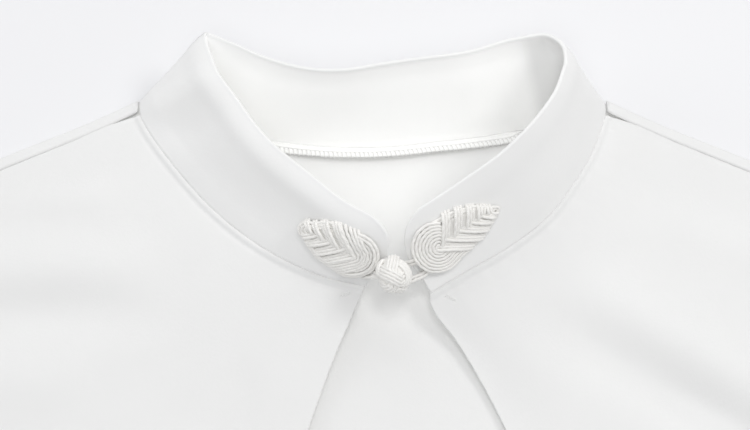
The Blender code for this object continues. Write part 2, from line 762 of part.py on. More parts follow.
def main():
    for thing in list(bpy.data.objects):
        bpy.data.objects.remove(thing)
    collection = bpy.data.collections.new(GARMENT)
    bpy.context.scene.collection.children.link(collection)
    cloth = material("white_cloth", CLOTH_COLOUR, 0.75)
    cord = material("white_cord", CORD_COLOUR, 0.45)
    build_back(collection, cloth)
    build_front(collection, cloth)
    for name, side in (("sleeve_left", -1), ("sleeve_right", 1)):
        build_sleeve(name, side, collection, cloth)
    build_collar(collection, cloth)
    build_allowance(collection, cloth)
    for row in LEAVES:
        build_leaf(row, collection, cord)
    build_knot(collection, cord)
    build_loop(collection, cord)


main()
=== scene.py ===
# %% [markdown]
# # A white top with a stand collar and a frog closure
#
# The top lies flat on its back, and a camera looks down on its neck. Every piece of cloth is a thin
# closed shell on the form of its solid, with its main creases placed one by one, and every cord of the
# frog is a real twisted tube. Tables are in millimetres, in the tailor's frame: x across the top,
# y = 0 at the line through the two neck points of the shoulders, and z up from the surface.

# %% the frame
import math

import bmesh
import bpy
import numpy as np
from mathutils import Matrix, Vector


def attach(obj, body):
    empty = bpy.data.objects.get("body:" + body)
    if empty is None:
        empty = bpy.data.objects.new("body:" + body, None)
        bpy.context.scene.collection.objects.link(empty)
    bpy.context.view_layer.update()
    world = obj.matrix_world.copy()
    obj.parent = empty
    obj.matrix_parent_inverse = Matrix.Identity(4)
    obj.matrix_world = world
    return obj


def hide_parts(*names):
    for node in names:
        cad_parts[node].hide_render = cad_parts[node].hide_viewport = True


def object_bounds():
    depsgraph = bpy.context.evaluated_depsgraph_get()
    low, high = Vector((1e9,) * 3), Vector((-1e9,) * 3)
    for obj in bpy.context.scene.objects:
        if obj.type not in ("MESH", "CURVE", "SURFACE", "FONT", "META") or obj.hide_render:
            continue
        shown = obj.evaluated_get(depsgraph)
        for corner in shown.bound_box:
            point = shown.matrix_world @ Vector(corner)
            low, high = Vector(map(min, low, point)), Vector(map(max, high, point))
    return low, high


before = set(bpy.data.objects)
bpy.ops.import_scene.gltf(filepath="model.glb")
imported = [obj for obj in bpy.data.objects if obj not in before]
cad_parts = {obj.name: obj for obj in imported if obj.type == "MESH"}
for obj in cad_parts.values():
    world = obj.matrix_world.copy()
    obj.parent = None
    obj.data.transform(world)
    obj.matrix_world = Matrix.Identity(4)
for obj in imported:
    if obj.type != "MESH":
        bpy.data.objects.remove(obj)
cad_low, cad_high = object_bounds()
box = [round(1000 * side) for side in np.subtract(cad_high, cad_low)]
print("solids:", len(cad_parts), "box", box, "mm")

MM = 0.001
BODY_LENGTH = 600.0
HEM_DIP = 6.0
COLLAR_REACH = 21.1
NECK_Y = (BODY_LENGTH + HEM_DIP - COLLAR_REACH) / 2


def to_metres(points):
    """From the tailor's frame to the frame that the solids are in."""
    return (np.asarray(points, float) + (0.0, NECK_Y, 0.0)) * MM


# %% [markdown]
# ## The camera
#
# The photograph looks down at about 70 degrees, from far enough away that the collar hardly
# converges. One pixel is 0.363 mm on the surface, so the lens follows from the distance.

# %% the camera
ELEVATION = math.radians(70)
CAMERA_DISTANCE = 900.0
MM_PER_PIXEL = 0.363
PICTURE_WIDTH = 750
SENSOR = 36.0
LOOK_AT = (0.9, -43.2, 0.0)

camera = bpy.data.objects.new("camera", bpy.data.cameras.new("camera"))
camera.data.sensor_width = SENSOR
camera.data.lens = SENSOR * CAMERA_DISTANCE / (PICTURE_WIDTH * MM_PER_PIXEL)
back_off = CAMERA_DISTANCE * np.array((0.0, -math.cos(ELEVATION), math.sin(ELEVATION)))
camera.location = to_metres(LOOK_AT + back_off)
camera.rotation_euler = (math.pi / 2 - ELEVATION, 0.0, 0.0)
bpy.context.scene.collection.objects.link(camera)
bpy.context.scene.camera = camera
print("lens", round(camera.data.lens, 1), "mm")

# %% [markdown]
# ## Lines and patches
#
# A pattern maker draws with curves through a few points. Here those are Catmull-Rom curves, read by
# the share of their length, and a Coons patch fills the space between four of them. All of it
# works on whole arrays at once, so a fine sheet takes no longer to write than a coarse one.

# %% lines
TINY = 1e-9
POINTS_AT_ONCE = 4000


def smooth(rows, per_span=16):
    """Centripetal Catmull-Rom through rows of numbers, the first two or three of them a place."""
    pts = np.array(rows, float)
    size = min(3, pts.shape[1])
    pts = np.vstack((2 * pts[0] - pts[1], pts, 2 * pts[-1] - pts[-2]))
    out = []
    for k in range(1, len(pts) - 2):
        four = pts[k - 1:k + 3]
        gaps = [math.sqrt(max(TINY, np.linalg.norm(four[i + 1, :size] - four[i, :size])))
                for i in range(3)]
        t0, t1, t2, t3 = 0.0, gaps[0], gaps[0] + gaps[1], sum(gaps)
        for step in range(per_span):
            t = t1 + (t2 - t1) * step / per_span
            a1 = ((t1 - t) * four[0] + (t - t0) * four[1]) / (t1 - t0)
            a2 = ((t2 - t) * four[1] + (t - t1) * four[2]) / (t2 - t1)
            a3 = ((t3 - t) * four[2] + (t - t2) * four[3]) / (t3 - t2)
            b1 = ((t2 - t) * a1 + (t - t0) * a2) / (t2 - t0)
            b2 = ((t3 - t) * a2 + (t - t1) * a3) / (t3 - t1)
            out.append(((t2 - t) * b1 + (t - t1) * b2) / (t2 - t1))
    out.append(pts[-2])
    return np.array(out)


def read_line(line, stops, places):
    """Each column of a line, read between its stops at the places asked for."""
    return np.stack([np.interp(places, stops, column) for column in np.asarray(line, float).T], axis=-1)


class Route:
    """A line through points, read by the share of its length."""

    def __init__(self, line):
        self.line = np.array(line, float)
        size = min(3, self.line.shape[1])
        steps = np.linalg.norm(np.diff(self.line[:, :size], axis=0), axis=1)
        self.runs = np.concatenate(([0.0], np.cumsum(steps)))
        self.length = self.runs[-1]

    def at(self, share):
        return read_line(self.line, self.runs, np.clip(share, 0.0, 1.0) * self.length)


def patch(low, high, left, right, u, v):
    """A Coons patch on a grid of shares: low and high run along it, left and right close its ends."""
    u, v = np.meshgrid(u, v)
    across, up = u[..., None], v[..., None]
    ruled = (1 - up) * low(u) + up * high(u) + (1 - across) * left(v) + across * right(v)
    first = (1 - up) * low(0.0) + up * high(0.0)
    last = (1 - up) * low(1.0) + up * high(1.0)
    return ruled - ((1 - across) * first + across * last)


def graded(first, growth, cap):
    """Shares from 0 to 1 with short steps at both ends, which grow to the cap between them."""
    steps = [first]
    while sum(steps) < 0.5:
        steps.append(min(cap, steps[-1] * growth))
    half = np.concatenate(([0.0], np.cumsum(steps))) * 0.5 / sum(steps)
    return np.concatenate((half, 1.0 - half[-2::-1]))


def nearest(points, line):
    """For each point, its distance in plan to a line, and the place on the line nearest to it."""
    starts, spans = line[:-1, :2], np.diff(line[:, :2], axis=0)
    squares = np.maximum((spans ** 2).sum(axis=1), TINY)
    gaps, places = [], []
    for block in np.array_split(points[:, :2], max(1, len(points) // POINTS_AT_ONCE)):
        offsets = block[:, None] - starts[None]
        share = np.clip((offsets * spans).sum(axis=2) / squares, 0.0, 1.0)
        gap = np.linalg.norm(offsets - share[..., None] * spans, axis=2)
        pick = gap.argmin(axis=1)
        rows = np.arange(len(block))
        gaps.append(gap[rows, pick])
        places.append(pick + share[rows, pick])
    return np.concatenate(gaps), np.concatenate(places)


# %% [markdown]
# ## From an array to a mesh
#
# Each sheet starts as bmesh grids, whose points are then put in place. The thin wall is two such
# grids, one on each side of the cloth's middle, which meet along their borders. Near a border both
# draw in to the middle on a quarter circle, so every cut edge has the soft round lip of a seam
# that is turned and pressed. The UV map holds metres along and across the cloth, which lets the
# weave follow the surface.

# %% mesh helpers
MERGE = 0.002


def mesh_from_grids(name, grids, inside=()):
    """One object from grids of (points, uvs, turned over).

    The share of the cloth's wrong side on each grid, where there is one, is given by inside.
    """
    bm = bmesh.new()
    for points, _, turned in grids:
        rows, columns = points.shape[:2]
        made = bmesh.ops.create_grid(bm, x_segments=columns - 1, y_segments=rows - 1, size=1.0)
        if turned:
            faces = {face for vert in made["verts"] for face in vert.link_faces}
            bmesh.ops.reverse_faces(bm, faces=list(faces))
    mesh = bpy.data.meshes.new(name)
    bm.to_mesh(mesh)
    bm.free()
    places = np.concatenate([to_metres(points).reshape(-1, 3) for points, _, _ in grids])
    mesh.vertices.foreach_set("co", places.ravel())
    corners = np.empty(len(mesh.loops), dtype=np.int32)
    mesh.loops.foreach_get("vertex_index", corners)
    uvs = np.concatenate([np.asarray(uv, float).reshape(-1, 2) for _, uv, _ in grids]) * MM
    mesh.uv_layers.new(name="cloth").data.foreach_set("uv", uvs[corners].ravel())
    reverse = [np.zeros(points[..., 0].size) for points, _, _ in grids]
    for share, values in zip(inside, reverse):
        values += np.ravel(share)
    mesh.attributes.new("inside", "FLOAT", "POINT").data.foreach_set("value", np.concatenate(reverse))
    bm = bmesh.new()
    bm.from_mesh(mesh)
    bmesh.ops.remove_doubles(bm, verts=bm.verts, dist=MERGE * MM)
    bm.to_mesh(mesh)
    bm.free()
    mesh.shade_smooth()
    thing = bpy.data.objects.new(name, mesh)
    bpy.context.scene.collection.objects.link(thing)
    print(name, len(mesh.polygons), "faces")
    return thing


def grid_normals(points):
    """Unit normals of a grid, from the ways that its rows and columns run."""
    along = np.gradient(points, axis=1)
    up = np.gradient(points, axis=0)
    normals = np.cross(along, up)
    return normals / np.maximum(np.linalg.norm(normals, axis=2, keepdims=True), TINY)


def border_runs(points):
    """How far each grid point lies from the nearest border, measured along the grid's own lines."""
    def one_way(steps, axis):
        runs = np.cumsum(steps, axis=axis)
        edge = np.zeros_like(np.take(runs, [0], axis=axis))
        runs = np.concatenate((edge, runs), axis=axis)
        return np.minimum(runs, np.take(runs, [-1], axis=axis) - runs)

    along = one_way(np.linalg.norm(np.diff(points, axis=1), axis=2), 1)
    up = one_way(np.linalg.norm(np.diff(points, axis=0), axis=2), 0)
    return np.minimum(along, up)


def flat_uvs(points):
    """Millimetres along and across a sheet that is nearly flat."""
    return points[..., :2]


def shell(name, points, wall, uvs=None, wrong_side=1.0):
    """A closed thin wall round a sheet's middle surface, with round borders."""
    depth = np.clip(border_runs(points) / (wall / 2), 0.0, 1.0)
    swell = np.sqrt(1 - (1 - depth) ** 2)[..., None] * wall / 2
    normals = grid_normals(points)
    uvs = flat_uvs(points) if uvs is None else uvs
    sides = [(points + swell * normals, uvs, False), (points - swell * normals, uvs, True)]
    return mesh_from_grids(name, sides, inside=(wrong_side, 0.0))


# %% [markdown]
# ## The collar's surface
#
# The stand collar is a band that stands on the neck seam. Each row of the table is a place on that
# seam, with the heading and the rise, in degrees, of the band's lean there, and its height. The
# band folds sharply at the left shoulder, stands up behind the nape, bends round the right
# shoulder, and lies low towards the frog.

# %% the collar's table
COLLAR = (
    # place, seam x, seam y, seam z, heading, rise, height
    ("left end", -2.3, -73.3, 9.0, 46.0, 53.0, 30.0),
    ("left front", -18.6, -69.5, 10.0, 57.0, 47.0, 31.0),
    ("left chest", -38.3, -59.9, 10.5, 51.5, 41.5, 34.3),
    ("left neck", -56.5, -45.1, 9.5, 42.3, 41.8, 36.0),
    ("left side", -71.5, -27.4, 7.5, 37.1, 39.8, 37.0),
    ("left shoulder", -81.3, -13.1, 5.0, 35.5, 35.5, 37.5),
    ("left strip", -84.9, -5.3, 3.1, 36.5, 33.0, 37.5),
    ("crease front", -85.3, -0.8, 2.1, 37.0, 34.0, 37.5),
    ("crease", -84.8, 0.5, 1.7, 37.2, 34.6, 37.5),
    ("crease back", -83.3, 0.0, 1.2, 37.6, 35.4, 37.5),
    ("left back", -70.8, -5.0, 0.6, 43.1, 42.7, 37.5),
    ("left nape", -52.3, -11.4, 0.6, 51.9, 53.3, 37.5),
    ("nape quarter", -32.1, -15.3, 0.6, 63.4, 61.0, 37.5),
    ("nape left", -13.7, -17.3, 0.6, 76.6, 61.0, 37.5),
    ("nape", 4.6, -17.3, 0.6, 89.0, 57.0, 37.5),
    ("nape right", 22.9, -15.3, 0.6, 96.4, 55.0, 37.5),
    ("nape far", 41.3, -12.9, 0.6, 101.3, 52.2, 37.5),
    ("right nape", 57.9, -9.4, 0.6, 106.5, 49.5, 37.5),
    ("right back", 72.7, -4.2, 0.6, 119.6, 53.5, 37.5),
    ("right strip back", 81.5, -0.8, 1.0, 140.0, 59.0, 37.5),
    ("right strip", 84.6, -0.2, 1.7, 152.0, 60.5, 37.5),
    ("right strip front", 85.0, -5.3, 3.1, 155.0, 61.5, 37.5),
    ("right shoulder", 83.6, -9.8, 4.5, 154.0, 62.0, 37.5),
    ("right side", 79.8, -20.6, 7.0, 151.2, 62.2, 37.5),
    ("right neck", 73.1, -33.2, 9.5, 148.6, 58.5, 37.0),
    ("right chest", 61.8, -48.7, 11.0, 138.6, 50.5, 35.5),
    ("right front", 47.3, -60.1, 11.0, 132.0, 45.2, 33.5),
    ("right closing", 32.9, -68.4, 10.0, 129.5, 43.5, 31.5),
    ("right end", 20.5, -75.9, 9.0, 127.5, 39.0, 30.0),
)
COLLAR_CORNER = 14.0
BAND = 1.8
LEAF_RISE = 16.0

PER_ROW = 16
BAND_LINE = smooth([row[1:] for row in COLLAR], PER_ROW)
BAND_STOPS = np.arange(len(BAND_LINE))
BAND_PLACE = {row[0]: k * PER_ROW for k, row in enumerate(COLLAR)}


def band_values(place):
    """Seam x, y and z, heading, rise and height at a place along the collar."""
    return read_line(BAND_LINE, BAND_STOPS, place)


def lean(place):
    """The way up the band, as a unit vector."""
    heading, rise = np.radians(band_values(place)[..., 3]), np.radians(band_values(place)[..., 4])
    flat = np.cos(rise)
    return np.stack((flat * np.cos(heading), flat * np.sin(heading), np.sin(rise)), axis=-1)


def band_point(place, rise, out=0.0):
    """A place on the collar: rise up the band from its seam and out from its middle surface."""
    place, rise = np.broadcast_arrays(np.asarray(place, float), np.asarray(rise, float))
    height = rise[..., None]
    point = band_values(place)[..., :3] + height * lean(place)
    after, before = np.minimum(place + 1, BAND_STOPS[-1]), np.maximum(place - 1, 0)
    ahead = band_values(after)[..., :3] + height * lean(after)
    behind = band_values(before)[..., :3] + height * lean(before)
    normal = np.cross(lean(place), ahead - behind)
    normal /= np.linalg.norm(normal, axis=-1, keepdims=True)
    return point + np.asarray(out, float)[..., None] * normal


LEAF_LINE = band_point(BAND_STOPS, LEAF_RISE)
BAND_RUNS = np.concatenate(([0.0], np.cumsum(np.linalg.norm(np.diff(LEAF_LINE, axis=0), axis=1))))
BAND_LENGTH = BAND_RUNS[-1]
print("collar", round(BAND_LENGTH), "mm along the height of the frog")


def place_at_run(side, run):
    """The place on the collar at a run from the front end of one side."""
    run = np.asarray(run, float)
    return np.interp(run if side == "left" else BAND_LENGTH - run, BAND_RUNS, BAND_STOPS)


def band_height(place):
    """The band's height, with the round corners of its two front ends."""
    height = band_values(place)[..., 5]
    run = np.interp(place, BAND_STOPS, BAND_RUNS)
    short = np.clip(COLLAR_CORNER - np.minimum(run, BAND_LENGTH - run), 0.0, COLLAR_CORNER)
    return height - COLLAR_CORNER + np.sqrt(COLLAR_CORNER ** 2 - short ** 2)


# %% [markdown]
# ## The collar
#
# A collar like this is two layers with a stiff one between, sewn, turned and pressed. It keeps a
# smooth curve with only a few soft dents, which are bumps in a table here: each has its place
# along the band, its rise, how far it reaches each way, and its height. Its top edge is a little
# pinched where the layers are turned, and the cloth below swells in a soft roll. The wrong side is
# painted whiter than the face, with a faint glow: partly its own colour, partly painted light through
# the thin cloth. Neither shows where the face is turned over the top, and both are lowered to paint
# shade on the inner face at the bend round the right shoulder and near the left fold.

# %% the collar
COLLAR_WALL = 1.5
COLLAR_DENTS = (
    # run from the left end, rise, reach along, reach up, slant, height
    (101.0, 22.0, 6.5, 30.0, -0.35, 1.7),
    (88.0, 16.0, 8.0, 22.0, -0.30, -1.3),
    (58.0, 13.0, 36.0, 9.0, 0.0, -1.0),
    (60.0, 20.0, 16.0, 18.0, 0.20, 0.5),
    (190.0, 18.0, 22.0, 24.0, 0.50, 1.1),
    (172.0, 20.0, 14.0, 20.0, 0.50, -0.6),
    (232.0, 22.0, 12.0, 26.0, -0.35, -1.1),
    (248.0, 24.0, 7.0, 26.0, -0.20, 0.9),
    (330.0, 20.0, 18.0, 18.0, 0.25, 0.6),
    (296.0, 24.0, 12.0, 26.0, 0.15, -0.7),
)
SEAM_EASE = 8.0
TOP_ROLL_RUNS = (0.0, 12.0, 92.0, 112.0)
TOP_ROLL = 1.1
TOP_ROLL_REST = 0.35
TOP_ROLL_DEPTH = 7.0
TOP_ROLL_REACH = 4.0
TOP_PINCH = 0.8
TOP_PINCH_REACH = 2.6
TOP_LIP = 2.2
CORNER_TURNS = np.radians(np.arange(0, 91, 4.5))
COLLAR_COLUMNS = 340
WRONG_SIDE_LIGHT_AND_SHADE = (
    # run from the left end, how much of the wrong side's whiter colour and painted glow shows there; the
    # lower values paint shade on the inner face
    (120.0, 0.7),
    (134.0, 0.75),
    (146.0, 1.0),
    (232.0, 1.0),
    (242.0, 0.75),
    (250.0, 0.8),
    (255.0, 0.1),
    (300.0, 0.0),
)


def collar_relief(run, rise, from_top):
    """Dents and swellings of the band, and the soft roll along its top, fullest at its left front."""
    total = np.zeros_like(run)
    for middle, height, reach, reach_up, slant, bump in COLLAR_DENTS:
        up = (rise - height) / reach_up
        total += bump * np.exp(-((run - middle - slant * (rise - height)) / reach) ** 2 - up ** 2)
    share = TOP_ROLL_REST + (1 - TOP_ROLL_REST) * np.interp(run, TOP_ROLL_RUNS, (0.0, 1.0, 1.0, 0.0))
    swell = np.exp(-((from_top - TOP_ROLL_DEPTH) / TOP_ROLL_REACH) ** 2)
    swell -= TOP_PINCH * np.exp(-(from_top / TOP_PINCH_REACH) ** 2)
    return total * np.clip(rise / SEAM_EASE, 0.0, 1.0) + TOP_ROLL * share * swell


corner_steps = COLLAR_CORNER * (1 - np.cos(CORNER_TURNS))
inner_runs = np.linspace(COLLAR_CORNER, BAND_LENGTH - COLLAR_CORNER, COLLAR_COLUMNS)[1:-1]
collar_runs = np.concatenate((corner_steps, inner_runs, BAND_LENGTH - corner_steps[::-1]))
rise_shares = graded(first=0.004, growth=1.35, cap=0.03)
run_grid, share_grid = np.meshgrid(collar_runs, rise_shares)
place_grid = np.interp(run_grid, BAND_RUNS, BAND_STOPS)
rise_grid = band_height(place_grid) * share_grid
from_top = band_height(place_grid) - rise_grid
collar_points = band_point(place_grid, rise_grid, collar_relief(run_grid, rise_grid, from_top))
collar_uvs = np.stack((run_grid, rise_grid), axis=-1)
# painted light and shade: the wrong side's whiter colour and glow, lowered where the inner face lies in
# shade
collar_painted_light_and_shade = np.interp(run_grid, *np.array(WRONG_SIDE_LIGHT_AND_SHADE).T) * np.clip(from_top / TOP_LIP, 0.0, 1.0)
collar = shell("collar_cloth", collar_points, COLLAR_WALL, collar_uvs, collar_painted_light_and_shade)

# %% [markdown]
# ## The body's outline
#
# The body is drafted like a paper pattern: shoulder, armhole, side seam, hem and cut-out, each with
# a few points. The back turns over the shoulder and meets the front in a seam 5 mm below the fold,
# so the two seam lines of a narrow yoke show on the front.

# %% the body's tables
CLOTH = 0.8
SEAM_GAP = 0.05
SEAM_TUCK = 0.5
BACK_Z = CLOTH / 2
FRONT_Z = 1.8
FOLD_RADIUS = (FRONT_Z - BACK_Z) / 2
BEND_START = 1.35
SHOULDER_STRIP = 5.0
NECK_CORNER = (86.2, 0.1)
SHOULDER_SPANS, ARMHOLE_SPANS, SIDE_SPANS, HEM_SPANS = 8, 9, 8, 10

SHOULDER_FOLD = (
    # distance from the centre, height on the table
    (85.0, 1.5),
    (92.0, -1.5),
    (103.0, -7.0),
    (120.0, -14.5),
    (138.0, -22.3),
    (190.0, -45.0),
)
ARMHOLE = (
    (190.0, -45.0),
    (182.5, -63.0),
    (178.0, -95.0),
    (179.0, -130.0),
    (186.0, -168.0),
    (197.5, -200.0),
    (211.5, -219.0),
    (231.0, -233.0),
)
SIDE_SEAM = (
    (231.0, -233.0),
    (225.0, -315.0),
    (221.0, -400.0),
    (226.0, -500.0),
    (233.0, -BODY_LENGTH),
)
HEM = (
    (-233.0, -BODY_LENGTH),
    (-130.0, -BODY_LENGTH - 0.8 * HEM_DIP),
    (0.0, -BODY_LENGTH - HEM_DIP),
    (130.0, -BODY_LENGTH - 0.8 * HEM_DIP),
    (233.0, -BODY_LENGTH),
)
CUT_OUT = (
    # the drop-shaped opening, from its left top corner round its foot to its right top corner
    (-2.0, -73.6),
    (-7.2, -85.7),
    (-13.2, -100.0),
    (-22.0, -125.0),
    (-31.5, -155.0),
    (-31.5, -185.0),
    (-14.0, -209.0),
    (12.0, -216.0),
    (40.0, -207.0),
    (58.0, -182.0),
    (57.0, -152.0),
    (47.0, -126.0),
    (36.9, -105.6),
    (28.7, -92.2),
    (23.2, -85.6),
    (20.6, -80.8),
    (20.3, -76.6),
)
FOLD_LINE, ARMHOLE_LINE = Route(smooth(SHOULDER_FOLD)), Route(smooth(ARMHOLE))
SIDE_LINE, HEM_LINE, CUT_LINE = Route(smooth(SIDE_SEAM)), Route(smooth(HEM)), Route(smooth(CUT_OUT))
MIRROR = np.array((-1.0, 1.0))
FINE = 6
A_LITTLE = 0.01


def turned_inside(line, distance, share):
    """Places on a line, moved to the right of its run by a distance."""
    way = line.at(share + A_LITTLE) - line.at(share - A_LITTLE)
    way /= np.linalg.norm(way, axis=-1, keepdims=True)
    return line.at(share) + distance * np.stack((way[..., 1], -way[..., 0]), axis=-1)


def inside_fold(distance, neck_point):
    """The right shoulder fold moved into the garment, from the neck to the armhole."""
    line = turned_inside(FOLD_LINE, distance, np.linspace(0.0, 1.0, SHOULDER_SPANS + 1))
    line[0] = neck_point
    line[-1] = ARMHOLE_LINE.at(distance / ARMHOLE_LINE.length)
    return Route(smooth(line, FINE)).at(np.linspace(0.0, 1.0, SHOULDER_SPANS * FINE + 1))


def armhole_stops(start):
    """The right armhole from below the shoulder to the underarm."""
    shares = np.linspace(start / ARMHOLE_LINE.length, 1.0, ARMHOLE_SPANS * FINE + 1)
    return ARMHOLE_LINE.at(shares)


def beside_seam(place, reach, side):
    """A point of the neck seam moved off the collar in plan, to the left (1) or right (-1) of its run."""
    here = band_values(place)[..., :3]
    way = band_values(np.asarray(place) + 1)[..., :2] - band_values(np.asarray(place) - 1)[..., :2]
    way /= np.linalg.norm(way, axis=-1, keepdims=True)
    off = np.stack((-way[..., 1], way[..., 0], np.zeros(way.shape[:-1])), axis=-1)
    return here + side * np.asarray(reach)[..., None] * off


def places_between(start, end, step=1.0):
    """Places along the collar from one to another, about a step apart."""
    return np.linspace(start, end, max(2, round(abs(end - start) / step)) + 1)


LEFT_NECK = beside_seam(places_between(0, BAND_PLACE["left strip"]), -SEAM_TUCK, 1)
right_places = places_between(BAND_PLACE["right end"], BAND_PLACE["right strip front"])
RIGHT_NECK = beside_seam(right_places, -SEAM_TUCK, 1)
inset = SHOULDER_STRIP + SEAM_GAP
right_shoulder = inside_fold(inset, RIGHT_NECK[-1, :2])
left_shoulder = inside_fold(inset, LEFT_NECK[-1, :2] * MIRROR) * MIRROR
armhole = armhole_stops(inset)
side_seam = SIDE_LINE.at(np.linspace(0.0, 1.0, SIDE_SPANS * FINE + 1))
hem_line = HEM_LINE.at(np.linspace(0.0, 1.0, HEM_SPANS * FINE + 1))
OUTLINE = np.vstack((left_shoulder, (armhole * MIRROR)[1:], (side_seam * MIRROR)[1:], hem_line[1:],
                     side_seam[::-1][1:], armhole[::-1][1:], right_shoulder[::-1][1:]))
OUTLINE_STOPS = np.linspace(0.0, 1.0, len(OUTLINE))
print("front", len(OUTLINE), "stops round its outline")

# %% [markdown]
# ## The creases of the body
#
# Cloth that was worn, or unfolded a moment ago, keeps a few long soft ridges and troughs. Each row
# is one: where it starts and ends, how far it bows sideways, its half width and its height, below
# zero for a trough. They differ in length, depth and spacing. Those at the neck are the
# photograph's, and the ones below it, which it doesn't show, are of the same kind.

# %% the creases
FRONT_LOFT = 1.4
LOFT_REACH = 30.0
RESTING = 0.5
NECK_LIFT_REACH = 20.0
FREE_EDGE_REACH = 8.0
FREE_EDGE_WIDTH = 14.0
FREE_EDGE_REST = 0.5
FREE_EDGE_START, FREE_EDGE_EASE = 0.7, 0.15
FOLD_TAPER = 0.25
FRONT_FOLDS = (
    # from x, from y, to x, to y, bow, half width, height
    (56.0, -56.0, 205.0, -148.0, 4.0, 11.0, 4.2),
    (42.0, -72.0, 175.0, -150.0, 3.0, 10.0, -3.6),
    (80.0, -38.0, 222.0, -100.0, -5.0, 10.0, 2.6),
    (76.0, -14.0, 112.0, -26.0, 2.0, 7.0, -1.4),
    (92.0, -106.0, 190.0, -180.0, -3.0, 9.0, -1.2),
    (40.0, -70.0, 190.0, -152.0, 3.0, 30.0, 2.0),
    (-204.0, -92.0, -56.0, -84.0, -2.0, 26.0, 1.4),
    (-206.0, -60.0, -66.0, -61.0, 3.0, 12.0, 4.2),
    (-190.0, -88.0, -62.0, -82.0, -2.0, 10.0, -2.6),
    (-172.0, -34.0, -82.0, -37.0, 1.0, 8.0, 7.5),
    (-205.0, -122.0, -92.0, -106.0, -3.0, 11.0, 1.8),
    (-94.0, -14.0, -72.0, -36.0, 1.0, 5.0, -1.5),
    (-62.0, -118.0, -84.0, -250.0, 5.0, 12.0, 2.0),
    (-44.0, -96.0, -56.0, -160.0, -2.0, 6.0, -1.2),
    (80.0, -210.0, 150.0, -380.0, 9.0, 14.0, 1.7),
    (60.0, -236.0, 110.0, -350.0, 5.0, 9.0, -0.8),
    (-120.0, -260.0, -175.0, -470.0, -10.0, 15.0, 1.7),
    (-30.0, -300.0, -60.0, -560.0, 8.0, 14.0, 1.6),
    (60.0, -400.0, 40.0, -590.0, -6.0, 13.0, 1.5),
    (14.0, -250.0, 22.0, -470.0, 7.0, 10.0, -0.9),
    (196.0, -235.0, 150.0, -330.0, 4.0, 10.0, 1.6),
    (-198.0, -232.0, -160.0, -300.0, -3.0, 10.0, 1.5),
    (150.0, -430.0, 165.0, -590.0, 5.0, 12.0, 1.2),
    (-150.0, -500.0, -130.0, -600.0, 3.0, 10.0, 1.0),
)
BACK_FOLDS = (
    (10.0, -96.0, 14.0, -150.0, 1.0, 6.0, 0.35),
    (-14.0, -120.0, 0.0, -200.0, -2.0, 9.0, 0.3),
    (-30.0, -34.0, 10.0, -62.0, 3.0, 8.0, 0.3),
    (20.0, -28.0, 40.0, -52.0, 2.0, 7.0, -0.25),
)


def fold_heights(points, folds):
    """Soft ridges: each is highest along its middle and fades to its ends and sides."""
    total = np.zeros(len(points))
    for x0, y0, x1, y1, bow, half_width, height in folds:
        start, way = np.array((x0, y0)), np.array((x1 - x0, y1 - y0))
        length = np.linalg.norm(way)
        offsets = points[:, :2] - start
        along = offsets @ way / length ** 2
        across = (offsets[:, 0] * way[1] - offsets[:, 1] * way[0]) / length - 4 * bow * along * (1 - along)
        fade = np.clip(np.minimum(along, 1 - along) / FOLD_TAPER, 0.0, 1.0)
        total += height * np.exp(-(across / half_width) ** 2) * fade * fade * (3 - 2 * fade)
    return total


print("creases:", len(FRONT_FOLDS), "on the front,", len(BACK_FOLDS), "inside the neck")

# %% [markdown]
# ## The front
#
# The front lies flat at its outer seams and rises to the collar, because a standing collar lifts
# the neck seam. Its edge dives under the collar. Beside it the turned edge makes a thin roll, with
# a ditch next to it and a few uneven puckers, as every curved seam on a light cloth has. The bottom
# of a trough rests on the back and goes no deeper, and the free right edge of the cut-out lies low.
# The middle surface is a height over the plan, so one function gives it everywhere.

# %% the front
DIVE = 1.0
DIVE_WIDTH = 0.6
ROLL_AT = 1.7
ROLL_WIDTH = 0.9
ROLL_HEIGHT = 0.6
DITCH_AT = 3.6
DITCH_DEPTH = 0.2
PUCKER = 0.10
PUCKER_REACH = 9.0
PUCKER_WAVES = (
    # turn at each step along the seam, turn at its start, size
    (0.71, 0.0, 1.0),
    (1.23, 1.0, 0.7),
    (0.37, 2.0, 0.5),
)
FLAT_AT_EDGE = 2.0
EDGE_LIFT = (
    # along the cut-out's edge: share of its length, how far that reaches, lift
    (0.925, 0.05, 0.4),
    (0.24, 0.10, 0.5),
    (0.57, 0.07, 0.6),
)
EDGE_LIFT_REACH = 16.0
SEAM_RISE = 2.0


def seam_relief(gap, place):
    """The dive, the roll, the ditch and the puckers at a neck seam, by the distance from the edge."""
    dive = DIVE * np.exp(-(gap / DIVE_WIDTH) ** 2)
    roll = ROLL_HEIGHT * np.exp(-((gap - ROLL_AT) / ROLL_WIDTH) ** 2)
    ditch = DITCH_DEPTH * np.exp(-((gap - DITCH_AT) / ROLL_WIDTH) ** 2)
    waves = sum(size * np.sin(place * turn + start) for turn, start, size in PUCKER_WAVES)
    pucker = PUCKER * waves * np.exp(-gap / PUCKER_REACH) * np.clip(gap / FLAT_AT_EDGE, 0.0, 1.0)
    return roll - dive - ditch + pucker


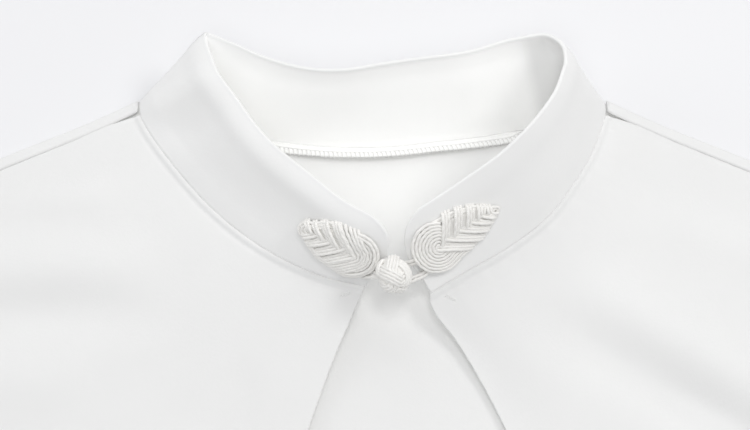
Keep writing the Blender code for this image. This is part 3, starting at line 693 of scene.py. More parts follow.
def front_height(points):
    """Height of the front's middle surface over the plan."""
    from_edge, _ = nearest(points, OUTLINE)
    inner = 1 - np.exp(-(from_edge / LOFT_REACH) ** 2)
    cut_gap, cut_place = nearest(points, CUT_LINE.line)
    share = np.interp(cut_place, np.arange(len(CUT_LINE.runs)), CUT_LINE.runs) / CUT_LINE.length
    free = np.clip((share - FREE_EDGE_START) / FREE_EDGE_EASE, 0.0, 1.0)
    free = np.exp(-(cut_gap / FREE_EDGE_WIDTH) ** 2) * free
    relief = (FRONT_LOFT + fold_heights(points, FRONT_FOLDS)) * (1 - FREE_EDGE_REST * free)
    height = FRONT_Z + inner * 0.5 * (relief + np.sqrt(relief ** 2 + RESTING ** 2))
    left_gap, left_place = nearest(points, LEFT_NECK)
    right_gap, right_place = nearest(points, RIGHT_NECK)
    on_left = left_gap < right_gap
    gap = np.where(on_left, left_gap, right_gap)
    place = np.where(on_left, left_place, right_place)
    left_z = np.interp(left_place, np.arange(len(LEFT_NECK)), LEFT_NECK[:, 2])
    right_z = np.interp(right_place, np.arange(len(RIGHT_NECK)), RIGHT_NECK[:, 2])
    seam_z = np.maximum(np.where(on_left, left_z, right_z), FRONT_Z)
    reach = NECK_LIFT_REACH + (FREE_EDGE_REACH - NECK_LIFT_REACH) * free
    near = np.exp(-gap / reach) * (1 + gap / reach)
    height = height + (seam_z - height) * near
    for middle, spread, lift in EDGE_LIFT:
        height += lift * np.exp(-((share - middle) / spread) ** 2 - cut_gap / EDGE_LIFT_REACH)
    return height + seam_relief(gap, place) * np.clip((seam_z - FRONT_Z) / SEAM_RISE, 0.0, 1.0)


across_shares = graded(first=0.0003, growth=1.09, cap=0.003)
up_shares = graded(first=0.0012, growth=1.18, cap=0.0115)
front_plan = patch(CUT_LINE.at, lambda u: read_line(OUTLINE, OUTLINE_STOPS, u),
                   Route(LEFT_NECK[:, :2]).at, Route(RIGHT_NECK[:, :2]).at, across_shares, up_shares)
front_z = front_height(front_plan.reshape(-1, 2)).reshape(front_plan.shape[:2])
front_points = np.concatenate((front_plan, front_z[..., None]), axis=2)
front = shell("front_cloth", front_points, CLOTH)

# %% [markdown]
# ## The back
#
# The back rests on the surface. Its grid is flat but for a few faint creases inside the neck, and a
# bent strip goes over each shoulder fold and rises beside the collar to meet the front. The strips
# share the back's own top points, so merging makes one sheet of the three, and Solidify gives it
# its thickness.

# %% the back
NAPE_FROM, NAPE_TO = BAND_PLACE["crease back"] + 4, BAND_PLACE["right strip back"] - 2
NAPE_STEP = 4.0
NAPE_POINTS = 91
BACK_ROWS = 131
FOLD_TURNS = np.radians(np.arange(0, 181, 15))
STRIP_ROWS = (
    # how far past the bend, share of the front's lift
    (-1.0, 0.25),
    (-2.4, 0.65),
    (BEND_START - SHOULDER_STRIP, 1.0),
)
# between these two heights the back's wrong side becomes painted whiter, with a faint glow: painted light
# inside the neck
INSIDE_NECK = (-90.0, -45.0)
INSIDE_NECK_PAINTED_LIGHT = 0.35

top_right = inside_fold(BEND_START, NECK_CORNER)
nape = beside_seam(places_between(NAPE_FROM, NAPE_TO, NAPE_STEP), 0.0, -1)[:, :2]
nape = Route(np.vstack((top_right[0] * MIRROR, nape, top_right[0]))).at(np.linspace(0.0, 1.0, NAPE_POINTS))
top_line = np.vstack(((top_right * MIRROR)[::-1], nape[1:], top_right[1:]))
top_stops = np.linspace(0.0, 1.0, len(top_line))
back_side = np.vstack((side_seam[::-1], armhole_stops(BEND_START)[::-1][1:]))
side_stops = np.linspace(0.0, 1.0, len(back_side))
back_plan = patch(HEM_LINE.at, lambda u: read_line(top_line, top_stops, u),
                  lambda v: read_line(back_side * MIRROR, side_stops, v),
                  lambda v: read_line(back_side, side_stops, v),
                  top_stops, np.linspace(0.0, 1.0, BACK_ROWS))
inside_neck = fold_heights(back_plan.reshape(-1, 2), BACK_FOLDS).reshape(back_plan.shape[:2])
back_points = np.concatenate((back_plan, (BACK_Z + np.maximum(inside_neck, 0.0))[..., None]), axis=2)


def shoulder_strip(edge, side):
    """Rows of points from a shoulder's fold, round the bend and down to the seam on the front."""
    way = np.gradient(edge, axis=0)
    way /= np.linalg.norm(way, axis=1, keepdims=True)
    way[np.abs(edge[:, 0]) < NECK_CORNER[0] + 1] = (side, 0.0)
    off = side * np.stack((-way[:, 1], way[:, 0]), axis=1)
    rows = []
    for turn in FOLD_TURNS:
        up = np.full(len(edge), BACK_Z + FOLD_RADIUS * (1 - math.cos(turn)))
        rows.append(np.column_stack((edge + FOLD_RADIUS * math.sin(turn) * off, up)))
    lift = front_height(edge + STRIP_ROWS[-1][0] * off) - FRONT_Z
    for outward, share in STRIP_ROWS:
        rows.append(np.column_stack((edge + outward * off, FRONT_Z + share * lift)))
    return np.array(rows)


right_strip = shoulder_strip(top_right, 1)
left_strip = shoulder_strip(top_right * MIRROR, -1)
back_grids = [(back_points, flat_uvs(back_points), False), (right_strip, flat_uvs(right_strip), False),
              (left_strip, flat_uvs(left_strip), True)]
# painted light: inside the neck the back's wrong side is painted whiter and glows faintly, from none below
# y -90 to the most from y -45 to the nape
wrong_side = np.interp(back_plan[..., 1], INSIDE_NECK, (0.0, INSIDE_NECK_PAINTED_LIGHT))
back = mesh_from_grids("back_cloth", back_grids, inside=(wrong_side,))


def add_wall(thing, wall):
    """Gives a sheet its thickness, half of it on each side."""
    solid = thing.modifiers.new("wall", "SOLIDIFY")
    solid.thickness = wall * MM
    solid.offset = 0.0
    solid.use_even_offset = False


add_wall(back, CLOTH)

# %% [markdown]
# ## The sleeves
#
# A short sleeve laid flat is a tube with a fold at its top and another at its foot. Its rings run
# down the front layer, round the foot's fold, back along the layer below and round the top's fold.
# Two soft creases run from the armhole to the cuff, as in a sleeve that was pressed and then moved.

# %% the sleeves
CUFF_TOP = (352.0, -160.0)
CUFF_FOOT = (267.0, -289.0)
SLEEVE_LOFT = 1.0
SLEEVE_ROUNDING = 0.7
CUFF_LOFT = 0.55
SLEEVE_RINGS = 70
SLEEVE_FOLDS = (
    # share along, share across at the armhole, at the cuff, half width as a share, height
    (0.5, 0.30, 0.42, 0.10, 1.3),
    (0.5, 0.66, 0.74, 0.09, 1.1),
    (0.7, 0.48, 0.58, 0.05, -0.6),
    (0.3, 0.14, 0.20, 0.05, 0.5),
)
FOLD_CLEARANCE = 1.65
FOLD_EASE = 12
END_EASE = 6


def side_way(start, end, side):
    """The way across a line in plan, to its left (1) or right (-1)."""
    way = (np.asarray(end) - start) / np.linalg.norm(np.asarray(end) - start)
    return side * np.array((-way[1], way[0]))


def round_fold(spot, way, turns):
    """Points round a fold which bulges from a place along a way, from the top layer down."""
    return [(*(spot + FOLD_RADIUS * math.sin(turn) * way), BACK_Z + FOLD_RADIUS * (1 + math.cos(turn)))
            for turn in turns]


def sleeve_rings():
    """Rings of points round the right sleeve, from its armhole to its cuff."""
    shares = np.linspace(0.0, 1.0, ARMHOLE_SPANS * FINE + 1)
    armhole_edge = turned_inside(ARMHOLE_LINE, -SEAM_GAP, shares)
    cuff_edge = Route((CUFF_TOP, CUFF_FOOT)).at(shares)
    top_way = side_way(armhole_edge[0], cuff_edge[0], 1)
    foot_way = side_way(armhole_edge[-1], cuff_edge[-1], -1)
    for line in (armhole_edge, cuff_edge):
        ease = np.clip(1 - shares * FOLD_EASE, 0.0, 1.0)[:, None]
        foot_ease = np.clip(1 - (1 - shares) * FOLD_EASE, 0.0, 1.0)[:, None]
        line -= FOLD_CLEARANCE * (ease * top_way + foot_ease * foot_way)
    rings = []
    for share in np.linspace(0.0, 1.0, SLEEVE_RINGS):
        line = (1 - share) * armhole_edge + share * cuff_edge
        loft = SLEEVE_LOFT * np.sin(math.pi * shares) ** SLEEVE_ROUNDING
        for middle, first, last, half, height in SLEEVE_FOLDS:
            across = (shares - first - (last - first) * share) / half
            loft = loft + height * np.exp(-across ** 2) * max(0.0, 1 - 2 * abs(share - middle))
        at_cuff = CUFF_LOFT + (1 - CUFF_LOFT) * min(1.0, END_EASE * (1 - share))
        loft = loft * min(1.0, END_EASE * share) * at_cuff
        upper = np.column_stack((line, FRONT_Z + loft))
        lower = np.column_stack((line, np.full(len(line), BACK_Z)))
        turns = FOLD_TURNS[1:-1]
        round_foot = round_fold(line[-1], foot_way, turns)
        round_top = round_fold(line[0], top_way, turns[::-1])
        rings.append(np.vstack((upper, round_foot, lower[::-1], round_top, upper[:1])))
    return np.array(rings)


sleeve_points = sleeve_rings()
sleeves = {}
for name, side in (("sleeve_left_cloth", -1), ("sleeve_right_cloth", 1)):
    points = sleeve_points * (side, 1, 1)
    sleeves[name] = mesh_from_grids(name, [(points, flat_uvs(points), side > 0)])
    add_wall(sleeves[name], CLOTH)

# %% [markdown]
# ## Cord
#
# The frog is plaited from thin satin cord. Each cord is a tube swept along its path: rings of
# points in a frame that turns as little as it can, with two lobes that spiral along it, which
# are the two plies. Its UV map runs along and around it, for the fibre in its material.

# %% cord helpers
CORD_RADIUS = 0.62
CORD_SIDES = 8
CORD_STEP = 0.32
PLY = 0.10
PLY_PITCH = 2.4
UPRIGHT = 0.1


def cord_grid(path, radius=CORD_RADIUS, ply=PLY, step=CORD_STEP, twist=1.0):
    """The grid of a cord along a path, with a small round cap at each end."""
    route = Route(smooth(path, 8))
    count = max(6, round(route.length / step))
    shares = np.linspace(0.0, 1.0, count)
    middle = route.at(shares)
    way = np.gradient(middle, axis=0)
    way /= np.linalg.norm(way, axis=1, keepdims=True)
    side = np.cross(way[0], (0.0, 0.0, 1.0))
    if np.linalg.norm(side) < UPRIGHT:
        side = np.cross(way[0], (1.0, 0.0, 0.0))
    sides = []
    for here in way:
        side = side - (side @ here) * here
        side = side / np.linalg.norm(side)
        sides.append(side)
    sides = np.array(sides)
    rises = np.cross(way, sides)
    turns = np.linspace(0.0, 2 * math.pi, CORD_SIDES + 1)
    runs = shares * route.length
    lobes = 1 + ply * np.cos(2 * turns[None] - twist * 2 * math.pi * runs[:, None] / PLY_PITCH)
    ends = np.minimum(runs, route.length - runs)
    cap = np.sqrt(np.clip(1 - (1 - np.clip(ends / radius, 0.0, 1.0)) ** 2, 0.0, 1.0))
    reach = radius * lobes * cap[:, None]
    reach[:, -1] = reach[:, 0]
    ring = np.cos(turns)[None, :, None] * sides[:, None] + np.sin(turns)[None, :, None] * rises[:, None]
    points = middle[:, None] + reach[..., None] * ring
    uvs = np.stack(np.broadcast_arrays(turns[None] * radius, runs[:, None]), axis=-1)
    return points, uvs, False


# %% [markdown]
# ## The frog's leaves
#
# Each leaf is plaited from one long cord, sewn flat on a pad. At its round root the cord runs in
# rings. The inner rings open towards the tip, and beyond them bundles of three cords cross
# from both edges to the spine, where each bundle dives under the next one from the other side. A
# leaf is drawn on the collar itself: by its run along the band, its rise up it, and how far out it
# stands. Its spine bends a little, as the sewer's hand left it.

# %% the leaves
PAD_EDGE = 0.5
PAD_CROWN = 2.0
PAD_GAP = 0.15
PAD_MARGIN = 2.0
CORD_STEP_ACROSS = 1.16
CORD_LIFT = 0.35
BUNDLE_STEP = 1.02
BUNDLE_LIFT = 0.15
BUNDLE_TILT = 0.42
WOBBLE = 0.09
RING_TURN = 12
UNDER_INSETS = (1.2, 2.3)
UNDER_TIP_INSET = 0.6
UNDER_EDGE_LIFT, UNDER_SPINE_LIFT, UNDER_TIP_LIFT = -0.75, -0.45, -0.2
BODY_SHARE = 0.5
TIP_FALL = 1.5
LEAST_HALF_WIDTH = 0.3
LOW_END_WIDTH = 4.0
PAD_RISE = 0.2
RIM_EASE = 6
WOBBLE_TURNS = (0.9, 1.7, 3.0)
EDGE_RUN_START, EDGE_RUN_DROP = 1.5, 0.1
HAIRPIN_POINTS, HAIRPIN_GAP = 9, 1.0
FIRST_REACH, REACH_ROUNDS = 3.0, 12
SHORTEST_STRAND = 1.0
TIP_INSET, TIGHTEST_TURN, TIP_LIFT = 0.5, 0.1, -0.1
STRAND_ARCH = (
    # share of the way from the spine to the edge, height over the pad's cords
    (-0.22, -0.9),
    (0.0, 0.0),
    (0.25, 0.5),
    (0.6, 0.6),
    (0.86, 0.3),
    (0.98, -0.25),
    (1.05, -1.0),
)


class Leaf:
    """One leaf's own frame: along its spine from the root, across it, and out from the collar."""

    def __init__(self, side, root, tip, radius, waist, tip_radius, bend):
        self.side = side
        self.root = np.array(root)
        self.length = math.dist(tip, root)
        self.way = (np.array(tip) - root) / self.length
        self.across = np.array((-self.way[1], self.way[0]))
        self.radius, self.waist, self.tip = radius, waist, tip_radius
        self.bend = np.array(bend).T
        self.grids = []

    def half_width(self, along):
        """Half the leaf's width: a round root, a body that narrows to the tip, and a round tip."""
        along = np.asarray(along, float)
        share = np.clip(along / self.length, 0.0, 1.0)
        body = self.radius + (self.waist - self.radius) * np.minimum(1.0, share / BODY_SHARE)
        fall = np.clip((share - BODY_SHARE) / (1 - BODY_SHARE), 0.0, 1.0) ** TIP_FALL
        body = np.where(share > BODY_SHARE, self.waist + (self.tip - self.waist) * fall, body)
        before = np.sqrt(np.maximum(0.0, self.radius ** 2 - np.minimum(along, 0.0) ** 2))
        beyond = np.clip((along - self.length) / self.tip, 0.0, 1.0)
        after = self.tip * np.sqrt(1 - beyond ** 2)
        return np.where(along < 0, before, np.where(along > self.length, after, body))

    def pad_out(self, along, across):
        """How far the pad's top stands out from the band's middle surface."""
        half = np.maximum(self.half_width(along), LEAST_HALF_WIDTH)
        round_ = np.sqrt(np.maximum(0.0, 1 - np.clip(across / half, -1.0, 1.0) ** 2))
        low_ends = np.minimum(1.0, half / LOW_END_WIDTH)
        return BAND / 2 + PAD_GAP + PAD_EDGE + (PAD_CROWN - PAD_EDGE) * round_ * low_ends

    def place(self, along, across, out):
        """From the leaf's frame, with its bent spine, to a place on the collar."""
        along = np.asarray(along, float)
        across = across + np.interp(along, *self.bend)
        spot = self.root + np.multiply.outer(along, self.way)
        spot = spot + np.multiply.outer(np.asarray(across, float), self.across)
        return band_point(place_at_run(self.side, spot[..., 0]), spot[..., 1], out)

    def cord(self, line):
        """A cord through (along, across, extra lift) points, on top of the pad."""
        along, across, extra = smooth(line, 6).T
        first, second, third = WOBBLE_TURNS
        shift = WOBBLE * np.sin(first * along + second * across + third * len(self.grids))
        out = self.pad_out(along, across) + CORD_LIFT + extra + shift
        self.grids.append(cord_grid(self.place(along, across + shift, out)))

    def ring(self, radius, start, end, edge_run, extra=0.1):
        """A cord about the root from one angle to another, which may go on along the lower edge."""
        angles = np.radians(np.arange(start, end + 1, RING_TURN))
        line = [(radius * math.cos(a), radius * math.sin(a), extra) for a in angles]
        inner = self.radius - radius
        if edge_run > 0:
            stops = np.linspace(EDGE_RUN_START, edge_run, 6)
            line += [(stop, inner - float(self.half_width(stop)), extra - EDGE_RUN_DROP) for stop in stops]
        self.cord(line)

    def hairpin(self, radius, upper_slant, lower_slant):
        """A cord which comes from the upper edge, turns round the root and leaves for the lower edge."""
        start = math.degrees(math.atan2(upper_slant, -1.0))
        end = 360 - math.degrees(math.atan2(lower_slant, -1.0))
        angles = np.radians(np.linspace(start, end, HAIRPIN_POINTS))
        arc = [(radius * math.cos(a), radius * math.sin(a), BUNDLE_LIFT) for a in angles]
        tails = []
        for slant, side, first in ((upper_slant, 1, arc[0]), (lower_slant, -1, arc[-1])):
            spine = first[0] - slant * side * first[1]
            reach = self.reach(spine, slant)
            strand = [(share * reach, extra) for share, extra in STRAND_ARCH]
            tails.append([(spine + slant * out, side * out, extra) for out, extra in strand
                          if out > abs(first[1]) + HAIRPIN_GAP])
        self.cord(tails[0][::-1] + arc + tails[1])

    def reach(self, spine, slant):
        """How far across the leaf a strand meets its edge, when it leaves the spine at a place."""
        reach = FIRST_REACH
        for _ in range(REACH_ROUNDS):
            reach = 0.5 * (reach + float(self.half_width(spine + slant * reach)))
        return reach

    def bundle(self, side, spine, slant, count):
        """Cords side by side from the spine to an edge; the one nearest the root lies highest."""
        for n in range(count):
            here = spine + n * BUNDLE_STEP * math.hypot(1.0, slant)
            reach = self.reach(here, slant)
            if reach > SHORTEST_STRAND:
                lift = BUNDLE_LIFT - BUNDLE_TILT * n
                self.cord([(here + slant * share * reach, side * share * reach, extra + lift)
                           for share, extra in STRAND_ARCH])

    def tip_cords(self, run):
        """Cords that turn round the tip under the last bundles."""
        radius = self.tip - TIP_INSET
        while radius > TIGHTEST_TURN:
            angles = np.radians(np.arange(90, -91, -15))
            arc = [(self.length + radius * math.cos(a), radius * math.sin(a), TIP_LIFT) for a in angles]
            inner = self.tip - radius
            stops = np.linspace(self.length - run, self.length - 1, 4)
            side = [(stop, float(self.half_width(stop)) - inner, UNDER_TIP_LIFT) for stop in stops]
            self.cord(side + arc + [(stop, -half, lift) for stop, half, lift in side[::-1]])
            radius -= CORD_STEP_ACROSS

    def under_cords(self, start):
        """Cords along both edges and the spine, under the bundles, which show where two bundles part."""
        stops = np.linspace(start, self.length - 1.0, 12)
        for inset in UNDER_INSETS:
            for side in (-1, 1):
                halves = [max(0.1, float(self.half_width(stop)) - inset) for stop in stops]
                self.cord([(stop, side * half, UNDER_EDGE_LIFT) for stop, half in zip(stops, halves)])
        spine = np.linspace(start, self.length + self.tip - UNDER_TIP_INSET, 12)
        self.cord([(stop, 0.0, UNDER_SPINE_LIFT) for stop in spine])

    def pad(self):
        """The pad under the cords: a crowned top over a plain underside, which meet at the rim."""
        angles = np.radians(np.arange(90, -1, -9))
        alongs = np.concatenate((-self.radius * np.sin(angles), np.linspace(0, self.length, 30)[1:],
                                 self.length + self.tip * np.sin(angles[::-1])[1:]))
        halves = np.maximum(self.half_width(alongs) - PAD_MARGIN, 0.0)
        alongs = np.clip(alongs, PAD_MARGIN - self.radius, self.length + self.tip - PAD_MARGIN)
        shares = np.sin(np.radians(np.linspace(-90, 90, 25)))
        along, share = np.meshgrid(alongs, shares, indexing="ij")
        across = share * halves[:, None]
        low = np.full_like(across, BAND / 2 + PAD_GAP)
        rim = np.clip((1 - np.abs(share)) * RIM_EASE, 0.0, 1.0)
        upper = self.place(along, across, low + (self.pad_out(along, across) + PAD_RISE - low) * rim)
        uvs = np.stack((along, across), axis=-1)
        return [(upper, uvs, False), (self.place(along, across, low), uvs, True)]


left_leaf = Leaf("left", (10.4, 13.2), (28.5, 15.8), 9.6, 8.4, 3.6,
                 ((-9, 0.0), (4, 0.9), (13, 0.9), (21, 0.0)))
for radius, edge_run, extra in ((9.05, 17.0, 0.3), (8.0, 15.0, 0.4), (6.6, 7.0, -0.1)):
    left_leaf.ring(radius, 70, 270, edge_run, extra)
for radius in (5.5, 4.45, 3.4, 2.2, 1.0):
    left_leaf.hairpin(radius, 1.4, 0.95)
left_leaf.tip_cords(6.0)
left_leaf.under_cords(3.0)
for side, spine, slant, count in (
    (-1, -0.6, 0.95, 3), (1, -0.9, 1.4, 3), (-1, 4.5, 0.95, 3), (1, 5.4, 1.4, 3),
    (-1, 9.6, 1.0, 3), (1, 11.6, 1.4, 2), (-1, 14.6, 1.0, 2), (1, 15.9, 1.3, 2),
):
    left_leaf.bundle(side, spine, slant, count)

right_leaf = Leaf("right", (11.0, 14.8), (34.6, 20.2), 10.0, 8.4, 1.3,
                  ((-9, 0.0), (3, 0.9), (11, 0.2), (19, -0.8), (25.5, -3.2)))
for n in range(8):
    right_leaf.ring(9.45 - 1.2 * n, 46 - 3 * n, 270, max(0.0, 8.4 - 1.3 * n))
right_leaf.tip_cords(7.0)
right_leaf.under_cords(4.0)
for side, spine, slant, count in (
    (-1, -1.4, 1.08, 3), (1, 1.6, 0.85, 3), (-1, 4.2, 1.08, 3), (1, 6.9, 0.85, 3), (-1, 9.7, 1.08, 3),
    (1, 12.1, 0.85, 3), (-1, 14.9, 1.05, 2), (1, 16.8, 0.8, 3), (-1, 18.8, 1.0, 2), (1, 20.6, 0.7, 2),
    (-1, 22.0, 0.8, 1),
):
    right_leaf.bundle(side, spine, slant, count)

frog = {
    "frog_leaf_left": mesh_from_grids("frog_leaf_left_cords", left_leaf.grids + left_leaf.pad()),
    "frog_leaf_right": mesh_from_grids("frog_leaf_right_cords", right_leaf.grids + right_leaf.pad()),
}

# %% [markdown]
# ## The knot and the loop
#
# The button of a frog is a ball knot. Four cords, side by side, go round it as a Turk's head of
# three leads and four bights: they climb and fall in a sine of their way round, over and under by
# turns. The knot is a little longer than wide, and its lower end points down to the right. The
# loop is a pair of cords, which comes from under the right leaf, passes round the knot's neck
# and goes back.

# %% the knot and the loop
KNOT_CENTRE = np.array((7.5, -73.9, 23.6))
KNOT_BALL = 5.2
KNOT_LEADS = 3
KNOT_BIGHTS = 4
KNOT_CLIMB = math.radians(64)
KNOT_CROSSING = 0.45
KNOT_LIFT = 0.35
KNOT_SINK = 0.12
KNOT_POINTS = 190
CORE_GAP = 0.1
CORE_MM_PER_DEGREE = 0.1
KNOT_CORDS = (-1.65, -0.55, 0.55, 1.65)
KNOT_POLE = np.array((0.36, -0.86, 0.30))
KNOT_STRETCH = 1.13
KNOT_NECK = (
    # from the left leaf's rim: run, rise and out there, then the height and the depth of the bend
    (1.4, 12.2, 1.8, 1.0, 0.4),
    (1.2, 9.6, 1.9, 0.3, -0.9),
    (2.0, 7.0, 1.7, -0.9, -1.2),
    (3.6, 5.0, 1.5, -1.9, -0.6),
)
NECK_UNDER = (3.0, 1.0, 1.2)
NECK_BEND, NECK_END = -4.0, -3.0
NECK_SHARE = 0.45
LOOP_UNDER = ((7.0, 15.0, 1.0), (0.8, 14.4, 1.9))
LOOP_BACK = ((1.6, 8.4, 1.8), (7.0, 10.8, 1.0))
LOOP_PATH = (
    (10.8, -68.6, 18.0),
    (6.4, -70.2, 16.2),
    (4.0, -72.4, 15.7),
    (6.6, -75.0, 15.4),
    (11.0, -74.8, 15.6),
    (14.6, -72.9, 15.9),
)
LOOP_CORDS = (-0.6, 0.6)
LOOP_FACE = (0.15, -0.6, 0.78)
LOOP_POINTS = 50


def knot_frame():
    """The knot's three axes as rows, the last one stretched along its pole."""
    pole = KNOT_POLE / np.linalg.norm(KNOT_POLE)
    east = np.cross(pole, (0.0, 0.0, 1.0))
    east /= np.linalg.norm(east)
    return np.array((east, np.cross(pole, east), KNOT_STRETCH * pole))


def on_ball(latitude, longitude):
    """Places on a ball of radius 1."""
    flat = np.cos(latitude)
    return np.stack((flat * np.cos(longitude), flat * np.sin(longitude), np.sin(latitude)), axis=-1)


def knot_grids():
    """The cords of the knot, side by side on their way over and under."""
    turn = np.linspace(0.0, 2 * math.pi * KNOT_LEADS, KNOT_POINTS)
    swing = KNOT_BIGHTS * turn / KNOT_LEADS
    radius = KNOT_BALL + KNOT_LIFT - KNOT_CROSSING * np.sin(2 * swing)
    ball = on_ball(KNOT_CLIMB * np.sin(swing), turn)
    way = np.gradient(ball, axis=0)
    beside = np.cross(ball, way)
    beside /= np.linalg.norm(beside, axis=1, keepdims=True)
    grids = []
    for offset in KNOT_CORDS:
        line = ball * radius[:, None] + offset * beside
        line *= ((radius - KNOT_SINK * abs(offset)) / np.linalg.norm(line, axis=1))[:, None]
        grids.append(cord_grid(KNOT_CENTRE + line[::2] @ knot_frame()))
    return grids


def knot_core():
    """A plain ball inside the knot, so that no gap between its cords lets light through."""
    latitude, longitude = np.meshgrid(np.radians(np.linspace(-90, 90, 25)),
                                      np.radians(np.linspace(0, 360, 37)), indexing="ij")
    uvs = np.degrees(np.stack((longitude, latitude), axis=-1)) * CORE_MM_PER_DEGREE
    ball = (KNOT_BALL - CORE_GAP) * on_ball(latitude, longitude)
    return KNOT_CENTRE + ball @ knot_frame(), uvs, True


def neck_grids():
    """Cords from the left leaf's rim into the knot."""
    grids = []
    for run, rise, out, height, depth in KNOT_NECK:
        rim = band_point(place_at_run("left", run), rise, out)
        under = band_point(place_at_run("left", run + NECK_UNDER[0]), rise + NECK_UNDER[1], NECK_UNDER[2])
        bend = (1 - NECK_SHARE) * rim + NECK_SHARE * (KNOT_CENTRE + (NECK_BEND, depth, height))
        grids.append(cord_grid((under, rim, bend, KNOT_CENTRE + (NECK_END, depth, height))))
    return grids


def loop_grids():
    """The two cords of the loop, from under the right leaf round the knot's neck and back."""
    ends = [[band_point(place_at_run("right", run), rise, out) for run, rise, out in part]
            for part in (LOOP_UNDER, LOOP_BACK)]
    route = Route(smooth([*ends[0], *LOOP_PATH, *ends[1]], 12))
    middle = route.at(np.linspace(0.0, 1.0, LOOP_POINTS))
    side = np.cross(np.gradient(middle, axis=0), LOOP_FACE)
    side /= np.linalg.norm(side, axis=1, keepdims=True)
    return [cord_grid(middle + offset * side, twist=math.copysign(1.0, offset)) for offset in LOOP_CORDS]


frog["frog_knot"] = mesh_from_grids("frog_knot_cords", knot_grids() + [knot_core()] + neck_grids())
frog["frog_loop"] = mesh_from_grids("frog_loop_cords", loop_grids())

# %% [markdown]
# ## Inside the back of the neck
#
# Where the collar meets the back, the seam allowance is turned down. It stands off the back a
# little along its lower edge, and an overlock holds that edge: a thread which zigzags over it.

# %% the seam allowance
ALLOWANCE_FROM, ALLOWANCE_TO = BAND_PLACE["nape quarter"] - 6, BAND_PLACE["nape far"] + 13
ALLOWANCE_WIDTH = 4.6
ALLOWANCE_WALL = 0.7
ALLOWANCE_LIFT = 2.4
ALLOWANCE_TAPER = 0.05
ALLOWANCE_LENGTH = 97.0
ALLOWANCE_START = 0.3
ALLOWANCE_LEAST = 0.7
ALLOWANCE_NARROWEST = 0.25
ALLOWANCE_CLEARANCE = 0.25
ALLOWANCE_ROUNDING = 0.8
WAVE, WAVE_TURNS = 0.12, 41.0
TUCK, TUCK_REACH = 0.6, 0.8
THREAD_RADIUS = 0.16
OVERLOCK_PITCH = 1.6
OVERLOCK_BITE = 2.2
OVERLOCK_TOP = ALLOWANCE_WALL / 2 + THREAD_RADIUS
OVERLOCK_POINTS = (
    # how far along its stitch, past the allowance's edge, and out from its middle surface
    (0.0, -OVERLOCK_BITE, OVERLOCK_TOP),
    (0.35, 0.1, OVERLOCK_TOP),
    (0.5, 0.3, -0.1),
)
NEEDLE_GAP = 0.1
NEEDLE_SHARES = np.linspace(0.01, 0.99, 60)


def allowance_point(share, reach, out=0.0):
    """A place on the allowance by its share along and its reach from the neck seam."""
    share, reach = np.broadcast_arrays(np.asarray(share, float), np.asarray(reach, float))
    taper = np.clip(np.minimum(share, 1 - share) / ALLOWANCE_TAPER, ALLOWANCE_NARROWEST, 1.0)
    reach = ALLOWANCE_LEAST + (reach - ALLOWANCE_LEAST) * taper
    point = beside_seam(ALLOWANCE_FROM + (ALLOWANCE_TO - ALLOWANCE_FROM) * share, reach, -1)
    arch = np.sin(math.pi * np.clip(share, 0.0, 1.0)) ** ALLOWANCE_ROUNDING
    lift = ALLOWANCE_LIFT * arch * np.clip(reach / ALLOWANCE_WIDTH, 0, 1)
    wave = WAVE * np.sin(WAVE_TURNS * share) * reach / ALLOWANCE_WIDTH
    tucked = TUCK * np.exp(-(reach / TUCK_REACH) ** 2)
    lowest = BACK_Z + CLOTH / 2 + ALLOWANCE_WALL / 2 + ALLOWANCE_CLEARANCE
    point[..., 2] = lowest + tucked + lift + wave + out
    return point


share_grid, reach_grid = np.meshgrid(np.linspace(0.0, 1.0, 110),
                                     np.linspace(ALLOWANCE_START, ALLOWANCE_WIDTH, 16))
allowance = shell("neck_allowance_cloth", allowance_point(share_grid, reach_grid)[:, ::-1], ALLOWANCE_WALL)

stitches = int(ALLOWANCE_LENGTH / OVERLOCK_PITCH)
zigzag = [allowance_point((k + 0.5) / stitches + ahead / stitches, ALLOWANCE_WIDTH + past, out)
          for k in range(stitches) for ahead, past, out in OVERLOCK_POINTS]
needle_line = [allowance_point(share, ALLOWANCE_WIDTH - OVERLOCK_BITE - NEEDLE_GAP, ALLOWANCE_WALL / 2)
               for share in NEEDLE_SHARES]
overlock = mesh_from_grids("neck_overlock_thread", [
    cord_grid(np.array(zigzag), radius=THREAD_RADIUS, ply=0.0),
    cord_grid(np.array(needle_line), radius=THREAD_RADIUS, ply=0.0)])

# %% [markdown]
# ## Stitches
#
# A small tack of thread holds the facing at each top corner of the cut-out. The hem and the two
# cuffs are turned up and held by a row of plain stitches, each one a short thread
# that dips into the cloth at both its ends.

# %% stitches
HEM_TURN = 20.0
HEM_ROW_END = 231.0
SLEEVE_MIDDLE = 190.0
STITCH = 2.4
STITCH_PITCH = 3.0
STITCH_START = 0.3
STITCH_DIP = 0.12
THREAD_STEP = 0.45
TACK_WIDTH, TACK_DEPTH, TACK_THREAD = 4.0, 0.55, 0.2
TACKS = ((-9.7, -76.6, 0.35), (27.8, -77.8, -0.45))


def on_front(places):
    """Places of the plan, put on the top of the front's cloth."""
    places = np.asarray(places, float)
    return np.column_stack((places, front_height(places) + CLOTH / 2))


def tack(x, y, turn):
    """A tack: a short zigzag of thread."""
    steps = np.linspace(-TACK_WIDTH / 2, TACK_WIDTH / 2, 9)
    zig = TACK_DEPTH * np.where(np.arange(len(steps)) % 2, 1, -1)
    along = np.array((math.cos(turn), math.sin(turn)))
    across = np.array((-math.sin(turn), math.cos(turn)))
    line = on_front(np.array((x, y)) + steps[:, None] * along + zig[:, None] * across)
    return cord_grid(line, radius=TACK_THREAD, ply=0.0)


